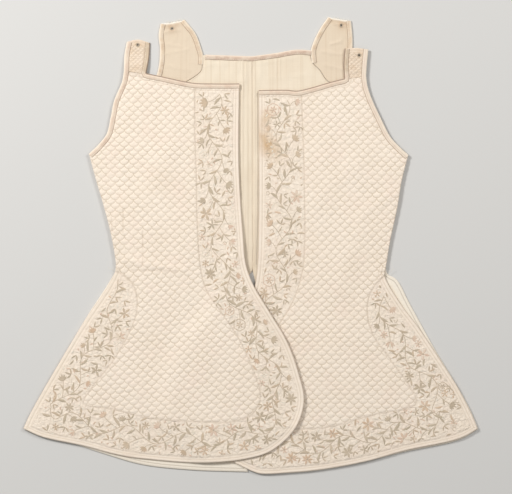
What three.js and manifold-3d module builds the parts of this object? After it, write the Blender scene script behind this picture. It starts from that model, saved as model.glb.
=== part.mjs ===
// A sleeveless quilted linen bodice with skirts, open down the front, laid flat on its back.
// Millimetres: +X to the viewer's right, +Y towards the neck, +Z up from the table. The origin is under the
// middle of the laid-out garment. Right and left are the wearer's, so the right front lies at -X.
// The two backs lie on the table with their lining up. The fronts lie on them, and below the waist the right
// front laps over the left one. Tables give each cut edge as rows of x and y in garment millimetres.

import * as THREE from 'three';
import { mergeVertices } from 'three/addons/utils/BufferGeometryUtils.js';
import Module from 'manifold-3d';

const wasm = await Module();
wasm.setup();

// Cloth
const WALL = 2; // outer linen, wadding and lining quilted together
const SEAM = 0.3; // space left where two pieces meet or lie on each other
const EDGE_STEP = 10; // spacing of the points along a cut edge
const CORNER = 1; // points nearer than this are one corner
const STRAIGHT = 0.01; // a point that turns its outline by less than this product of its sides is left out
const FACET = 20; // size of the flats in a wall that follows what it lies on

// Clamshell quilting, stitched in level rows of scales that hang round side down
const SCALE_WIDTH = 12.4; // one scale, side to side
const SCALE_ROW = 5.93; // from one row to the next, each shifted by half a scale
const VALLEY = 0.3; // stitched lines, above the plain border
const CROWN = 0.9; // middle of a scale, above the plain border
const CROWN_DROP = 0.2; // how far a scale's crown sits below its middle, as a share of a row
const RELIEF_DEPTH = 0.6; // how deep the quilted layer reaches into the wall below it
const SKIRT_TILT = 0.112; // rise of the right front's rows on its skirt, as a slope
const TILT_FROM = 40; // the rows start to tilt here
const TILT_TO = -60; // and are fully tilted here

// Lap of the right front over the left front
const LAP_RISE = WALL + CROWN + SEAM; // how much higher the right front lies on the left front
const LAP_FOOT = 68; // the rise starts this far before the left front's edge
const LAP_HEAD = 30; // and ends this far before it

// Binding tape, folded over the edge
const TAPE_WIDTH = 6;
const TAPE_THICKNESS = 0.6;
const TAPE_LOW = 0.3; // its turned-down edge ends this far above the underside of the wall
const TAPE_ROOM = 0.5; // space between the tape and the quilting beside it

// Shoulder straps
const EYELET_RADIUS = 1.75;
const EYELET_SIDES = 10;
const STRAP_FALL_FROM = 236; // the right front strap leaves the garment's thickness here
const STRAP_FALL_TO = 264; // and lies on the table from here on

const CENTRE_BACK = 2.3; // x of the seam between the two backs
const OVERRUN = 12; // how far a layer runs past an edge before it is cut there

const CUT = {
  rightNeck: [
    { x: -142, y: 232 }, { x: -122, y: 228 }, { x: -78, y: 219 }, { x: -52, y: 218 }, { x: -15.5, y: 218 },
  ],
  rightFrontEdge: [
    { x: -15.5, y: 218 }, { x: -16.5, y: 129 }, { x: -15, y: 80 }, { x: -11, y: 20 }, { x: -6.5, y: -26 },
    { x: 4.3, y: -55 }, { x: 26, y: -91 }, { x: 49, y: -130 }, { x: 64, y: -171 }, { x: 71.8, y: -209 },
  ],
  rightHem: [
    { x: 71.8, y: -209 }, { x: 60, y: -246.5 }, { x: 28, y: -277 }, { x: -6, y: -288 }, { x: -68, y: -293.5 },
    { x: -137, y: -289 }, { x: -177, y: -283.5 }, { x: -227, y: -270.5 }, { x: -282, y: -258.5 },
    { x: -307.5, y: -247.5 },
  ],
  rightSlit: [
    { x: -307.5, y: -247.5 }, { x: -298, y: -227 }, { x: -258, y: -157 }, { x: -222, y: -98 },
    { x: -193, y: -55 }, { x: -183.5, y: -36 },
  ],
  rightSide: [
    { x: -183.5, y: -36 }, { x: -182.4, y: -26 }, { x: -189, y: 15 }, { x: -199, y: 54 }, { x: -209, y: 88 },
    { x: -218.5, y: 123 },
  ],
  rightArmhole: [
    { x: -218.5, y: 123 }, { x: -206, y: 135 }, { x: -194, y: 150.5 }, { x: -188.7, y: 172.5 },
    { x: -184, y: 195 }, { x: -173.3, y: 221 }, { x: -170.6, y: 236 },
  ],
  leftNeck: [
    { x: 10.7, y: 209 }, { x: 48.5, y: 209.4 }, { x: 62.4, y: 208.3 }, { x: 76, y: 211 },
    { x: 109.5, y: 220.6 }, { x: 127, y: 224.8 },
  ],
  leftArmhole: [
    { x: 155, y: 229 }, { x: 157, y: 214.5 }, { x: 163, y: 197 }, { x: 174.4, y: 172.5 }, { x: 188, y: 146 },
    { x: 201, y: 132 }, { x: 212.5, y: 121.4 },
  ],
  leftSide: [
    { x: 212.5, y: 121.4 }, { x: 203.6, y: 85.6 }, { x: 198, y: 51 }, { x: 188.5, y: 7 },
    { x: 182.5, y: -30 },
  ],
  leftSlit: [
    { x: 182.5, y: -30 }, { x: 181, y: -41 }, { x: 203.3, y: -80 }, { x: 226, y: -110 }, { x: 262, y: -164 },
    { x: 281, y: -194 }, { x: 301, y: -234 }, { x: 306.5, y: -248 },
  ],
  leftHem: [
    { x: 306.5, y: -248 }, { x: 282.4, y: -260.7 }, { x: 206.8, y: -277.6 }, { x: 156, y: -291.7 },
    { x: 93, y: -303 }, { x: 55.6, y: -306.6 }, { x: 15, y: -308.5 }, { x: 3.6, y: -305.6 },
    { x: -20, y: -294.7 },
  ],
  leftFrontEdge: [
    { x: -20, y: -294.7 }, { x: -44, y: -273.5 }, { x: -58, y: -258.7 }, { x: -71.3, y: -222 },
    { x: -64.5, y: -171 }, { x: -41.6, y: -125 }, { x: -6.5, y: -80.5 }, { x: 4.7, y: -56.6 },
    { x: 9, y: -28 }, { x: 10.9, y: 34 }, { x: 10.7, y: 209 },
  ],
  rightBackNeck: [{ x: -65.3, y: 257.4 }, { x: -19, y: 255.7 }, { x: CENTRE_BACK, y: 255.1 }],
  leftBackNeck: [{ x: CENTRE_BACK, y: 255.1 }, { x: 35.6, y: 259.7 }, { x: 62, y: 264 }, { x: 82, y: 263 }],
  rightVent: [{ x: CENTRE_BACK, y: -33 }, { x: -4, y: -44 }, { x: -4, y: -306 }],
  leftVent: [{ x: 8, y: -307.5 }, { x: 7.5, y: -57 }, { x: CENTRE_BACK, y: -33 }],
  rightBackHem: [
    { x: -4, y: -306 }, { x: -80.7, y: -303.3 }, { x: -147, y: -296 }, { x: -197.5, y: -281.6 },
    { x: -250, y: -264 }, { x: -303, y: -246 },
  ],
  rightBackSlit: [
    { x: -303, y: -246 }, { x: -257, y: -157 }, { x: -223, y: -98 }, { x: -195, y: -55 },
    { x: -183.5, y: -36 },
  ],
  rightBackArmhole: [
    { x: -218.5, y: 123 }, { x: -200, y: 134 }, { x: -180, y: 150 }, { x: -160, y: 172 }, { x: -140, y: 205 },
  ],
  rightStrapSeam: [
    { x: -140, y: 205 }, { x: -112, y: 210 }, { x: -85.6, y: 222 }, { x: -67, y: 236 }, { x: -65.3, y: 245 },
    { x: -65.3, y: 257.4 },
  ],
  leftStrapSeam: [
    { x: 82, y: 263 }, { x: 80.5, y: 256 }, { x: 83.7, y: 246.4 }, { x: 93.2, y: 236.8 }, { x: 104, y: 222 },
    { x: 143, y: 208 },
  ],
  leftBackArmhole: [
    { x: 143, y: 208 }, { x: 160, y: 172 }, { x: 178, y: 148 }, { x: 197, y: 131 }, { x: 212.5, y: 121.4 },
  ],
  leftBackSlit: [
    { x: 182.5, y: -30 }, { x: 184.4, y: -38 }, { x: 197, y: -46 }, { x: 214.7, y: -78.4 },
    { x: 245, y: -133.4 }, { x: 294, y: -216.7 }, { x: 307.5, y: -248 },
  ],
  leftBackHem: [
    { x: 307.5, y: -248 }, { x: 283, y: -262.2 }, { x: 207, y: -279.2 }, { x: 121.8, y: -299.2 },
    { x: 55.6, y: -307.5 }, { x: 8, y: -307.5 },
  ],
};

// Each strap's tip, then the side that runs down from it and the side that runs up to it
const STRAP = {
  frontRight: {
    tip: [{ x: -166.7, y: 275.5 }, { x: -152.3, y: 278.4 }, { x: -137, y: 274 }],
    down: [{ x: -137, y: 274 }, { x: -138, y: 255 }, { x: -142, y: 232 + SEAM }],
    up: [{ x: -170.6, y: 236 + SEAM }, { x: -170, y: 258 }, { x: -166.7, y: 275.5 }],
    eyelet: { x: -152.8, y: 269.8 },
  },
  frontLeft: {
    tip: [{ x: 127.5, y: 266 }, { x: 143, y: 267 }, { x: 158, y: 265 }],
    down: [{ x: 158, y: 265 }, { x: 156, y: 245 }, { x: 155, y: 229 + SEAM }],
    up: [{ x: 127, y: 224.8 + SEAM }, { x: 126, y: 245 }, { x: 127.5, y: 266 }],
    eyelet: { x: 146.3, y: 257 },
  },
  backRight: {
    tip: [{ x: -121.2, y: 299.7 }, { x: -104, y: 302 }, { x: -90.2, y: 305 }],
    down: [{ x: -90.2, y: 305 }, { x: -75.2, y: 285.7 }, { x: -68, y: 267 }, { x: -65.3, y: 257.4 }],
    up: [
      { x: -140, y: 205 }, { x: -126, y: 232 }, { x: -122, y: 263 }, { x: -123.8, y: 285 },
      { x: -121.2, y: 299.7 },
    ],
    eyelet: { x: -106.4, y: 293 },
  },
  backLeft: {
    tip: [{ x: 105.2, y: 308.5 }, { x: 120, y: 306 }, { x: 134.5, y: 303.6 }],
    down: [{ x: 134.5, y: 303.6 }, { x: 136.6, y: 283.4 }, { x: 137, y: 245 }, { x: 143, y: 208 }],
    up: [{ x: 82, y: 263 }, { x: 85, y: 274 }, { x: 94.8, y: 293.6 }, { x: 105.2, y: 308.5 }],
    eyelet: { x: 122.2, y: 297.5 },
  },
};
const COVERED_UP = 36; // length of the right back strap's outer side that lies under the right front
const SHOWING_DOWN = 34; // length of the left back strap's outer side above the left front strap
const TAPE_CLEAR = 3; // a tape starts this far from the tape that it meets at a corner

// Lines between the quilted field and the embroidered border
const FIELD = {
  rightFront: [
    { x: -70, y: 211.5 }, { x: -73.5, y: 88 }, { x: -73, y: 48 }, { x: -67.5, y: -33 }, { x: -60, y: -60 },
    { x: -40, y: -90 }, { x: -18.6, y: -121.6 }, { x: -0.5, y: -159 }, { x: 13, y: -205 }, { x: 2, y: -227 },
    { x: -21, y: -237 }, { x: -68.6, y: -238 }, { x: -137, y: -233 }, { x: -187.5, y: -221 },
    { x: -226, y: -213 },
  ],
  rightSlit: [
    { x: -226, y: -213 }, { x: -217, y: -195 }, { x: -183, y: -151 }, { x: -155, y: -93 },
    { x: -156, y: -60 }, { x: -167, y: -44 }, { x: -192, y: -30 },
  ],
  leftSlit: [
    { x: 192, y: -32 }, { x: 166, y: -56 }, { x: 157, y: -84 }, { x: 165, y: -120 }, { x: 190, y: -156 },
    { x: 223, y: -213 },
  ],
  leftFront: [
    { x: 223, y: -213 }, { x: 169, y: -228 }, { x: 100, y: -245.8 }, { x: 66, y: -247.6 }, { x: 20, y: -246 },
    { x: -9, y: -230 }, { x: -8, y: -195 }, { x: 20, y: -134 }, { x: 53, y: -83 }, { x: 66, y: -50 },
    { x: 71.6, y: -20 }, { x: 72, y: 98 }, { x: 68.5, y: 202.5 },
  ],
};
const FIELD_GAP = 4; // the field's corner at the neck is this far from the neck line's next point
const FIELD_BELOW_TIP = 7; // the quilting of a strap stops this far below its tip

const CLOTH = {
  quilted: { color: 0xefe6d3, roughness: 0.9, metalness: 0 },
  lining: { color: 0xeadfc8, roughness: 0.92, metalness: 0 },
  tape: { color: 0xe0c9b0, roughness: 0.85, metalness: 0 },
};

const group = new THREE.Group();

// ---- lines ----

// A smooth line through a table's rows, as points about EDGE_STEP apart, or the stretch of it between two
// lengths along it.
function line(table, from = 0, to = Infinity) {
  const points = table.map((row) => new THREE.Vector3(row.x, row.y, 0));
  const curve = new THREE.CatmullRomCurve3(points, false, 'centripetal');
  const length = curve.getLength();
  const end = Math.min(to, length);
  const steps = Math.max(1, Math.round((end - from) / EDGE_STEP));
  const sampled = [];
  for (let k = 0; k <= steps; k += 1) {
    const point = curve.getPointAt(Math.min(1, (from + ((end - from) * k) / steps) / length));
    sampled.push(new THREE.Vector2(point.x, point.y));
  }
  return sampled;
}

// The line moved by a distance to its right, which is into the cloth of a clockwise outline.
function inside(points, distance) {
  return points.map((point, k) => {
    const before = points[Math.max(0, k - 1)];
    const after = points[Math.min(points.length - 1, k + 1)];
    const along = after.clone().sub(before).normalize();
    return new THREE.Vector2(point.x + along.y * distance, point.y - along.x * distance);
  });
}

// Lines that follow on from each other, as one line without repeated corners.
function joined(...lines) {
  const points = [];
  for (const point of lines.flat()) {
    const last = points.at(-1);
    if (!last || last.distanceTo(point) > CORNER) points.push(point);
  }
  if (points[0].distanceTo(points.at(-1)) <= CORNER) points.pop();
  return points;
}

// Where a line that runs up the garment stands at height y.
function acrossAt(rising, y) {
  const upper = rising.findIndex((point) => point.y >= y);
  if (upper === -1) return rising.at(-1).x;
  if (upper === 0) return rising[0].x;
  const below = rising[upper - 1];
  const above = rising[upper];
  return THREE.MathUtils.mapLinear(y, below.y, above.y, below.x, above.x);
}

// ---- solids ----

function solidOf(geometry) {
  const bare = geometry.clone();
  bare.deleteAttribute('normal');
  bare.deleteAttribute('uv');
  const merged = mergeVertices(bare);
  return new wasm.Manifold(new wasm.Mesh({
    numProp: 3,
    vertProperties: new Float32Array(merged.attributes.position.array),
    triVerts: new Uint32Array(merged.index.array),
  }));
}

function geometryOf(solid) {
  const mesh = solid.getMesh();
  const geometry = new THREE.BufferGeometry();
  geometry.setAttribute('position', new THREE.BufferAttribute(mesh.vertProperties, mesh.numProp));
  geometry.setIndex(new THREE.BufferAttribute(mesh.triVerts, 1));
  return geometry;
}

function add(name, geometry, cloth) {
  geometry.computeVertexNormals();
  const mesh = new THREE.Mesh(geometry, new THREE.MeshStandardMaterial(CLOTH[cloth]));
  mesh.name = name;
  group.add(mesh);
}

// The outline without the points that lie on a straight stretch of it.
function bent(outline) {
  return outline.filter((point, k) => {
    const before = outline.at(k - 1);
    const after = outline[(k + 1) % outline.length];
    const turn = point.clone().sub(before).cross(after.clone().sub(point));
    return Math.abs(turn) > STRAIGHT;
  });
}

// An upright prism on an outline, with an eyelet through it if one is given.
function prism(outline, low, high, eyelet) {
  const shape = new THREE.Shape(bent(outline));
  if (eyelet) {
    const rim = Array.from({ length: EYELET_SIDES }, (_, k) => {
      const angle = (2 * Math.PI * k) / EYELET_SIDES;
      const x = eyelet.x + EYELET_RADIUS * Math.cos(angle);
      const y = eyelet.y + EYELET_RADIUS * Math.sin(angle);
      return new THREE.Vector2(x, y);
    });
    shape.holes.push(new THREE.Path(rim));
  }
  const geometry = new THREE.ExtrudeGeometry(shape, { depth: high - low, bevelEnabled: false });
  return geometry.translate(0, 0, low);
}

// A closed slab over a grid of columns and rows. place gives a grid point's x and y, top and bottom its
// heights, and crossed says which way a grid square is split.
function slab({ columns, rows, place, top, bottom, crossed }) {
  const positions = [];
  const faces = [];
  for (const height of [top, bottom]) {
    for (let j = 0; j <= rows; j += 1) {
      for (let i = 0; i <= columns; i += 1) {
        const { x, y } = place(i, j);
        positions.push(x, y, height(x, y, i, j));
      }
    }
  }
  const layer = (columns + 1) * (rows + 1);
  const at = (i, j) => j * (columns + 1) + i;
  const square = (a, b, c, d, split) => {
    if (split) faces.push(a, b, d, b, c, d);
    else faces.push(a, b, c, a, c, d);
  };
  for (let j = 0; j < rows; j += 1) {
    for (let i = 0; i < columns; i += 1) {
      const [a, b, c, d] = [at(i, j), at(i + 1, j), at(i + 1, j + 1), at(i, j + 1)];
      const split = crossed(i, j);
      square(a, b, c, d, split);
      square(d + layer, c + layer, b + layer, a + layer, split);
    }
  }
  const side = (a, b) => square(a + layer, b + layer, b, a, false);
  for (let i = 0; i < columns; i += 1) {
    side(at(i, 0), at(i + 1, 0));
    side(at(i + 1, rows), at(i, rows));
  }
  for (let j = 0; j < rows; j += 1) {
    side(at(columns, j), at(columns, j + 1));
    side(at(0, j + 1), at(0, j));
  }
  const geometry = new THREE.BufferGeometry();
  geometry.setAttribute('position', new THREE.Float32BufferAttribute(positions, 3));
  geometry.setIndex(faces);
  return geometry;
}

// The box round an outline, grown by OVERRUN.
function room(outline) {
  const box = new THREE.Box2().setFromPoints(outline).expandByScalar(OVERRUN);
  return { left: box.min.x, bottom: box.min.y, width: box.max.x - box.min.x, height: box.max.y - box.min.y };
}

// The height of a wall's underside in flats of FACET, so that what lies on the wall follows the same flats.
// Its grid starts at the left and bottom of the wall's room.
function inFlats(height, { left, bottom }) {
  return (x, y) => {
    const i = Math.floor((x - left) / FACET);
    const j = Math.floor((y - bottom) / FACET);
    const across = (x - left) / FACET - i;
    const up = (y - bottom) / FACET - j;
    const corner = (di, dj) => height(left + (i + di) * FACET, bottom + (j + dj) * FACET);
    const start = corner(0, 0);
    const end = corner(1, 1);
    if (across > up) return start + (corner(1, 0) - start) * (across - up) + (end - start) * up;
    return start + (corner(0, 1) - start) * (up - across) + (end - start) * across;
  };
}

// The plain wall over a room, on the heights of its flats.
function wall(place, under) {
  return slab({
    columns: Math.ceil(place.width / FACET),
    rows: Math.ceil(place.height / FACET),
    place: (i, j) => ({ x: place.left + i * FACET, y: place.bottom + j * FACET }),
    top: (x, y) => under(x, y) + WALL,
    bottom: under,
    crossed: () => false,
  });
}

// The quilted layer over a room: stitched lines join every second grid point, and a scale's crown stands
// between them. tilt is the slope of the rows at a height y.
function quilting(place, under, tilt) {
  const half = SCALE_WIDTH / 2;
  const isCrown = (i, j) => (i + j) % 2 === 1;
  return slab({
    columns: Math.ceil(place.width / half),
    rows: Math.ceil(place.height / SCALE_ROW),
    place: (i, j) => {
      const x = place.left + i * half;
      const level = place.bottom + j * SCALE_ROW;
      const drop = isCrown(i, j) ? CROWN_DROP * SCALE_ROW : 0;
      return { x, y: level + tilt(level) * (x - place.left - place.width / 2) - drop };
    },
    top: (x, y, i, j) => under(x, y) + WALL + (isCrown(i, j) ? CROWN : VALLEY),
    bottom: (x, y) => under(x, y) + WALL - RELIEF_DEPTH,
    crossed: (i, j) => isCrown(i, j),
  });
}

// A quilted piece: the wall with its field of quilting, cut to the outline.
function quiltedPiece({ name, outline, field, under, tilt, eyelet }) {
  const place = room(outline);
  const tall = 4 * (WALL + LAP_RISE);
  const cutter = solidOf(prism(outline, -tall, tall, eyelet));
  const fieldCutter = solidOf(prism(field, -tall, tall));
  const raised = solidOf(quilting(place, under, tilt)).intersect(fieldCutter);
  const solid = solidOf(wall(place, under)).add(raised).intersect(cutter);
  add(name, geometryOf(solid), 'quilted');
}

// Binding tape along a clockwise edge: a strip over the face of the cloth, turned down over its edge.
function tape(name, edge, under) {
  const face = WALL + SEAM;
  const outside = -SEAM - TAPE_THICKNESS;
  const profile = [
    { inward: TAPE_WIDTH, height: face },
    { inward: TAPE_WIDTH, height: face + TAPE_THICKNESS },
    { inward: outside, height: face + TAPE_THICKNESS },
    { inward: outside, height: TAPE_LOW },
    { inward: -SEAM, height: TAPE_LOW },
    { inward: -SEAM, height: face },
  ];
  const sides = profile.length;
  const strands = profile.map((corner) => inside(edge, corner.inward));
  const positions = [];
  for (let k = 0; k < edge.length; k += 1) {
    profile.forEach((corner, c) => {
      const { x, y } = strands[c][k];
      positions.push(x, y, under(x, y) + corner.height);
    });
  }
  const faces = [];
  for (let k = 0; k + 1 < edge.length; k += 1) {
    for (let c = 0; c < sides; c += 1) {
      const a = k * sides + c;
      const b = k * sides + ((c + 1) % sides);
      faces.push(a, b + sides, b, a, a + sides, b + sides);
    }
  }
  const section = profile.map((corner) => new THREE.Vector2(corner.inward, corner.height));
  const end = (edge.length - 1) * sides;
  for (const [a, b, c] of THREE.ShapeUtils.triangulateShape(section, [])) {
    faces.push(a, b, c);
    faces.push(end + c, end + b, end + a);
  }
  const geometry = new THREE.BufferGeometry();
  geometry.setAttribute('position', new THREE.Float32BufferAttribute(positions, 3));
  geometry.setIndex(faces);
  add(name, geometry, 'tape');
}

// ---- backs and back straps, flat on the table ----

const onTable = () => 0;

const backRight = joined(
  line(CUT.rightBackNeck).map((point) => point.setX(Math.min(point.x, CENTRE_BACK - SEAM / 2))),
  line(CUT.rightVent).map((point) => point.setX(Math.min(point.x, CENTRE_BACK - SEAM / 2))),
  line(CUT.rightBackHem),
  line(CUT.rightBackSlit),
  line(CUT.rightSide),
  line(CUT.rightBackArmhole),
  line(CUT.rightStrapSeam),
);
add('back_right', prism(backRight, 0, WALL), 'lining');

const backLeft = joined(
  line(CUT.leftBackNeck).map((point) => point.setX(Math.max(point.x, CENTRE_BACK + SEAM / 2))),
  line(CUT.leftStrapSeam),
  line(CUT.leftBackArmhole),
  line(CUT.leftSide),
  line(CUT.leftBackSlit),
  line(CUT.leftBackHem),
  line(CUT.leftVent).map((point) => point.setX(Math.max(point.x, CENTRE_BACK + SEAM / 2))),
);
add('back_left', prism(backLeft, 0, WALL), 'lining');

// A back strap meets its back along their shared seam.
function backStrap(name, { tip, down, up, eyelet }, seam) {
  const sewn = inside(line(seam).toReversed(), SEAM);
  const outline = joined(sewn, line(up), line(tip), line(down));
  add(name, prism(outline, 0, WALL, eyelet), 'lining');
}
backStrap('strap_back_right', STRAP.backRight, CUT.rightStrapSeam);
backStrap('strap_back_left', STRAP.backLeft, CUT.leftStrapSeam);

tape('strap_tape_right_inner', line(STRAP.backRight.down), onTable);
tape('strap_tape_right_outer', line(STRAP.backRight.up, COVERED_UP), onTable);
tape('strap_tape_left_inner', line(STRAP.backLeft.up, TAPE_CLEAR), onTable);
tape('strap_tape_left_outer', line(STRAP.backLeft.down, 0, SHOWING_DOWN), onTable);

// The back neck tape crosses the centre back seam.
const backNeck = joined(line(CUT.rightBackNeck, TAPE_CLEAR), line(CUT.leftBackNeck));
tape('neck_tape_back', backNeck, onTable);

// ---- fronts and front straps ----

const rightNeck = joined(line(STRAP.frontRight.down), line(CUT.rightNeck));
const rightArmhole = joined(line(CUT.rightArmhole), line(STRAP.frontRight.up));
const leftNeck = joined(line(CUT.leftNeck), line(STRAP.frontLeft.up));
const leftArmhole = joined(line(STRAP.frontLeft.down), line(CUT.leftArmhole));

const level = () => 0;
const onBack = () => WALL + SEAM;

// The right front's rows of quilting rise towards the front edge below the waist.
function skirtTilt(y) {
  return SKIRT_TILT * (1 - THREE.MathUtils.smoothstep(y, TILT_TO, TILT_FROM));
}

// The right front rises before the left front's edge, lies on it in the lap, and stands off the back along
// the opening.
const leftFrontEdge = line(CUT.leftFrontEdge);
function overLap(x, y) {
  const past = x - acrossAt(leftFrontEdge, y);
  return WALL + SEAM + LAP_RISE * THREE.MathUtils.smoothstep(past, -LAP_FOOT, -LAP_HEAD);
}

// The right front strap comes down from the garment's edge to the table.
function toTable(x, y) {
  return (WALL + SEAM) * (1 - THREE.MathUtils.smoothstep(y, STRAP_FALL_FROM, STRAP_FALL_TO));
}

const quiltEdge = TAPE_WIDTH + TAPE_ROOM;
const rightFieldCorner = FIELD.rightFront[0].x - FIELD_GAP;
const rightField = joined(
  inside(rightNeck, quiltEdge).filter((point) => point.x < rightFieldCorner),
  line(FIELD.rightFront),
  line(FIELD.rightSlit),
  inside(line(CUT.rightSide), -OVERRUN),
  inside(rightArmhole, quiltEdge),
).filter((point) => point.y < STRAP.frontRight.tip[0].y - FIELD_BELOW_TIP);

const leftFieldCorner = FIELD.leftFront.at(-1).x + FIELD_GAP;
const leftField = joined(
  inside(leftArmhole, quiltEdge),
  inside(line(CUT.leftSide), -OVERRUN),
  line(FIELD.leftSlit),
  line(FIELD.leftFront),
  inside(leftNeck, quiltEdge).filter((point) => point.x > leftFieldCorner),
).filter((point) => point.y < STRAP.frontLeft.tip[0].y - FIELD_BELOW_TIP);

const frontRight = joined(
  line(CUT.rightNeck),
  line(CUT.rightFrontEdge),
  line(CUT.rightHem),
  line(CUT.rightSlit),
  line(CUT.rightSide),
  line(CUT.rightArmhole),
);
const frontLeft = joined(
  line(CUT.leftNeck),
  line(CUT.leftArmhole),
  line(CUT.leftSide),
  line(CUT.leftSlit),
  line(CUT.leftHem),
  line(CUT.leftFrontEdge),
);
const strapOutline = ({ tip, down, up }) => joined(line(tip), line(down), line(up));
const strapFrontRight = strapOutline(STRAP.frontRight);
const strapFrontLeft = strapOutline(STRAP.frontLeft);

const underRight = inFlats(overLap, room(frontRight));
const underRightStrap = inFlats(toTable, room(strapFrontRight));

quiltedPiece({ name: 'front_left', outline: frontLeft, field: leftField, under: onBack, tilt: level });
quiltedPiece({
  name: 'front_right',
  outline: frontRight,
  field: rightField,
  under: underRight,
  tilt: skirtTilt,
});
quiltedPiece({
  name: 'strap_front_right',
  outline: strapFrontRight,
  field: rightField,
  under: underRightStrap,
  tilt: level,
  eyelet: STRAP.frontRight.eyelet,
});
quiltedPiece({
  name: 'strap_front_left',
  outline: strapFrontLeft,
  field: leftField,
  under: onBack,
  tilt: level,
  eyelet: STRAP.frontLeft.eyelet,
});

// A tape runs from the garment on to its strap.
const underRightEdge = (x, y) => (y > STRAP_FALL_FROM ? underRightStrap(x, y) : underRight(x, y));
tape('neck_tape_right', rightNeck, underRightEdge);
tape('armhole_tape_right', rightArmhole, underRightEdge);
tape('neck_tape_left', leftNeck, onBack);
tape('armhole_tape_left', leftArmhole, onBack);

export default group;
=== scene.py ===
import math

import bmesh
import bpy
import numpy as np
from mathutils import Matrix, Vector


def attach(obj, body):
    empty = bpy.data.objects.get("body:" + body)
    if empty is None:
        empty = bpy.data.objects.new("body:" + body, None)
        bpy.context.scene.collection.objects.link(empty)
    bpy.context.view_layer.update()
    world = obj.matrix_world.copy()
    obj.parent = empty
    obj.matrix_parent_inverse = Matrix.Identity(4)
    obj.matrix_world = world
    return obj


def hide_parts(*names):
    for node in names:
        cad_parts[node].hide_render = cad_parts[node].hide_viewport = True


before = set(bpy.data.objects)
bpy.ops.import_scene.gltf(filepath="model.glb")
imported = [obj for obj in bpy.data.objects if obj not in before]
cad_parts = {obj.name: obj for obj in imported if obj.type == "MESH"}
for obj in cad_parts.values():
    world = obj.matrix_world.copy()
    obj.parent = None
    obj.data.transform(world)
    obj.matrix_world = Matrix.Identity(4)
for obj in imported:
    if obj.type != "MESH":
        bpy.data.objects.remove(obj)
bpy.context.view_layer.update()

# ---- The two backs ----
# White linen quilted over wadding and lined with plain linen, in two halves seamed at the centre back down
# to the waist and left open below as a vent. They lie on the table with the lining up. Cut lines are in
# millimetres, clockwise round each piece.

MM = 0.001
WALL = 2.0
GAP = 0.3
CENTRE_BACK = 2.3
RIGHT_SEAM, LEFT_SEAM = CENTRE_BACK - 0.15, CENTRE_BACK + 0.15
VENT_TOP = -28

RIGHT_SIDE = [(-183.5, -36), (-182.4, -26), (-189, 15), (-199, 54), (-209, 88), (-218.5, 123)]
RIGHT_BACK_NECK = [(-65.3, 257.4), (-19, 255.7), (RIGHT_SEAM, 255.1)]
RIGHT_VENT = [(RIGHT_SEAM, 255.1), (RIGHT_SEAM, 100), (RIGHT_SEAM, -33), (-4, -44), (-4, -306)]
RIGHT_BACK_HEM = [(-4, -306), (-80.7, -303.3), (-147, -296), (-197.5, -281.6), (-250, -264), (-303, -246)]
RIGHT_BACK_SLIT = [(-303, -246), (-257, -157), (-223, -98), (-195, -55), (-183.5, -36)]
RIGHT_BACK_ARMHOLE = [(-218.5, 123), (-200, 134), (-180, 150), (-160, 172), (-140, 205)]
RIGHT_STRAP_SEAM = [(-140, 205), (-112, 210), (-85.6, 222), (-67, 236), (-65.3, 245), (-65.3, 257.4)]
LEFT_SIDE = [(212.5, 121.4), (203.6, 85.6), (198, 51), (188.5, 7), (182.5, -30)]
LEFT_BACK_NECK = [(LEFT_SEAM, 255.1), (35.6, 259.7), (62, 264), (82, 263)]
LEFT_STRAP_SEAM = [(82, 263), (80.5, 256), (83.7, 246.4), (93.2, 236.8), (104, 222), (143, 208)]
LEFT_BACK_ARMHOLE = [(143, 208), (160, 172), (178, 148), (197, 131), (212.5, 121.4)]
LEFT_BACK_SLIT = [
    (182.5, -30), (184.4, -38), (197, -46), (214.7, -78.4), (245, -133.4), (294, -216.7), (307.5, -248),
]
LEFT_BACK_HEM = [(307.5, -248), (283, -262.2), (207, -279.2), (121.8, -299.2), (55.6, -307.5), (8, -307.5)]
LEFT_VENT = [(8, -307.5), (7.5, -57), (LEFT_SEAM, -33), (LEFT_SEAM, 100), (LEFT_SEAM, 255.1)]


def spaced(points, step=None, count=None):
    """The same line with its points evenly spaced."""
    along = np.concatenate([[0], np.cumsum(np.linalg.norm(np.diff(points, axis=0), axis=1))])
    number = count or max(1, round(along[-1] / step))
    at = np.linspace(0, along[-1], number + 1)
    return np.column_stack([np.interp(at, along, points[:, k]) for k in range(points.shape[1])])


def smooth_line(rows, step=2.0):
    """A spline through the points of a cut line, sampled every step."""
    p = np.array(rows, float)
    p = np.vstack([2 * p[0] - p[1], p, 2 * p[-1] - p[-2]])
    knot = np.sqrt(np.linalg.norm(np.diff(p, axis=0), axis=1))
    t = np.linspace(0, 1, 25)[:-1, None]
    stretches = []
    for k in range(1, len(p) - 2):
        before, here, after = knot[k - 1 : k + 2]
        start = ((p[k] - p[k - 1]) / before - (p[k + 1] - p[k - 1]) / (before + here)) * here + p[k + 1] - p[k]
        end = ((p[k + 2] - p[k + 1]) / after - (p[k + 2] - p[k]) / (here + after)) * here + p[k + 1] - p[k]
        bend = 3 * (p[k + 1] - p[k]) - 2 * start - end
        twist = 2 * (p[k] - p[k + 1]) + start + end
        stretches.append(p[k] + start * t + bend * t**2 + twist * t**3)
    return spaced(np.vstack(stretches + [p[-2:-1]]), step)


def ring(*lines):
    """Lines that follow on from each other, as one closed outline."""
    points = np.vstack(lines)
    return points[np.linalg.norm(points - np.roll(points, 1, axis=0), axis=1) > 0.3]


def ahead_on(points, closed=False):
    """The direction of a line at each of its points."""
    if closed:
        along = np.roll(points, -1, axis=0) - np.roll(points, 1, axis=0)
    else:
        along = np.gradient(points, axis=0)
    return along / np.linalg.norm(along, axis=1)[:, None]


def moved_in(points, distance, closed=False):
    """The line moved to its right, which is into the cloth."""
    along = ahead_on(points, closed)
    return points + distance * np.column_stack([along[:, 1], -along[:, 0]])


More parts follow.
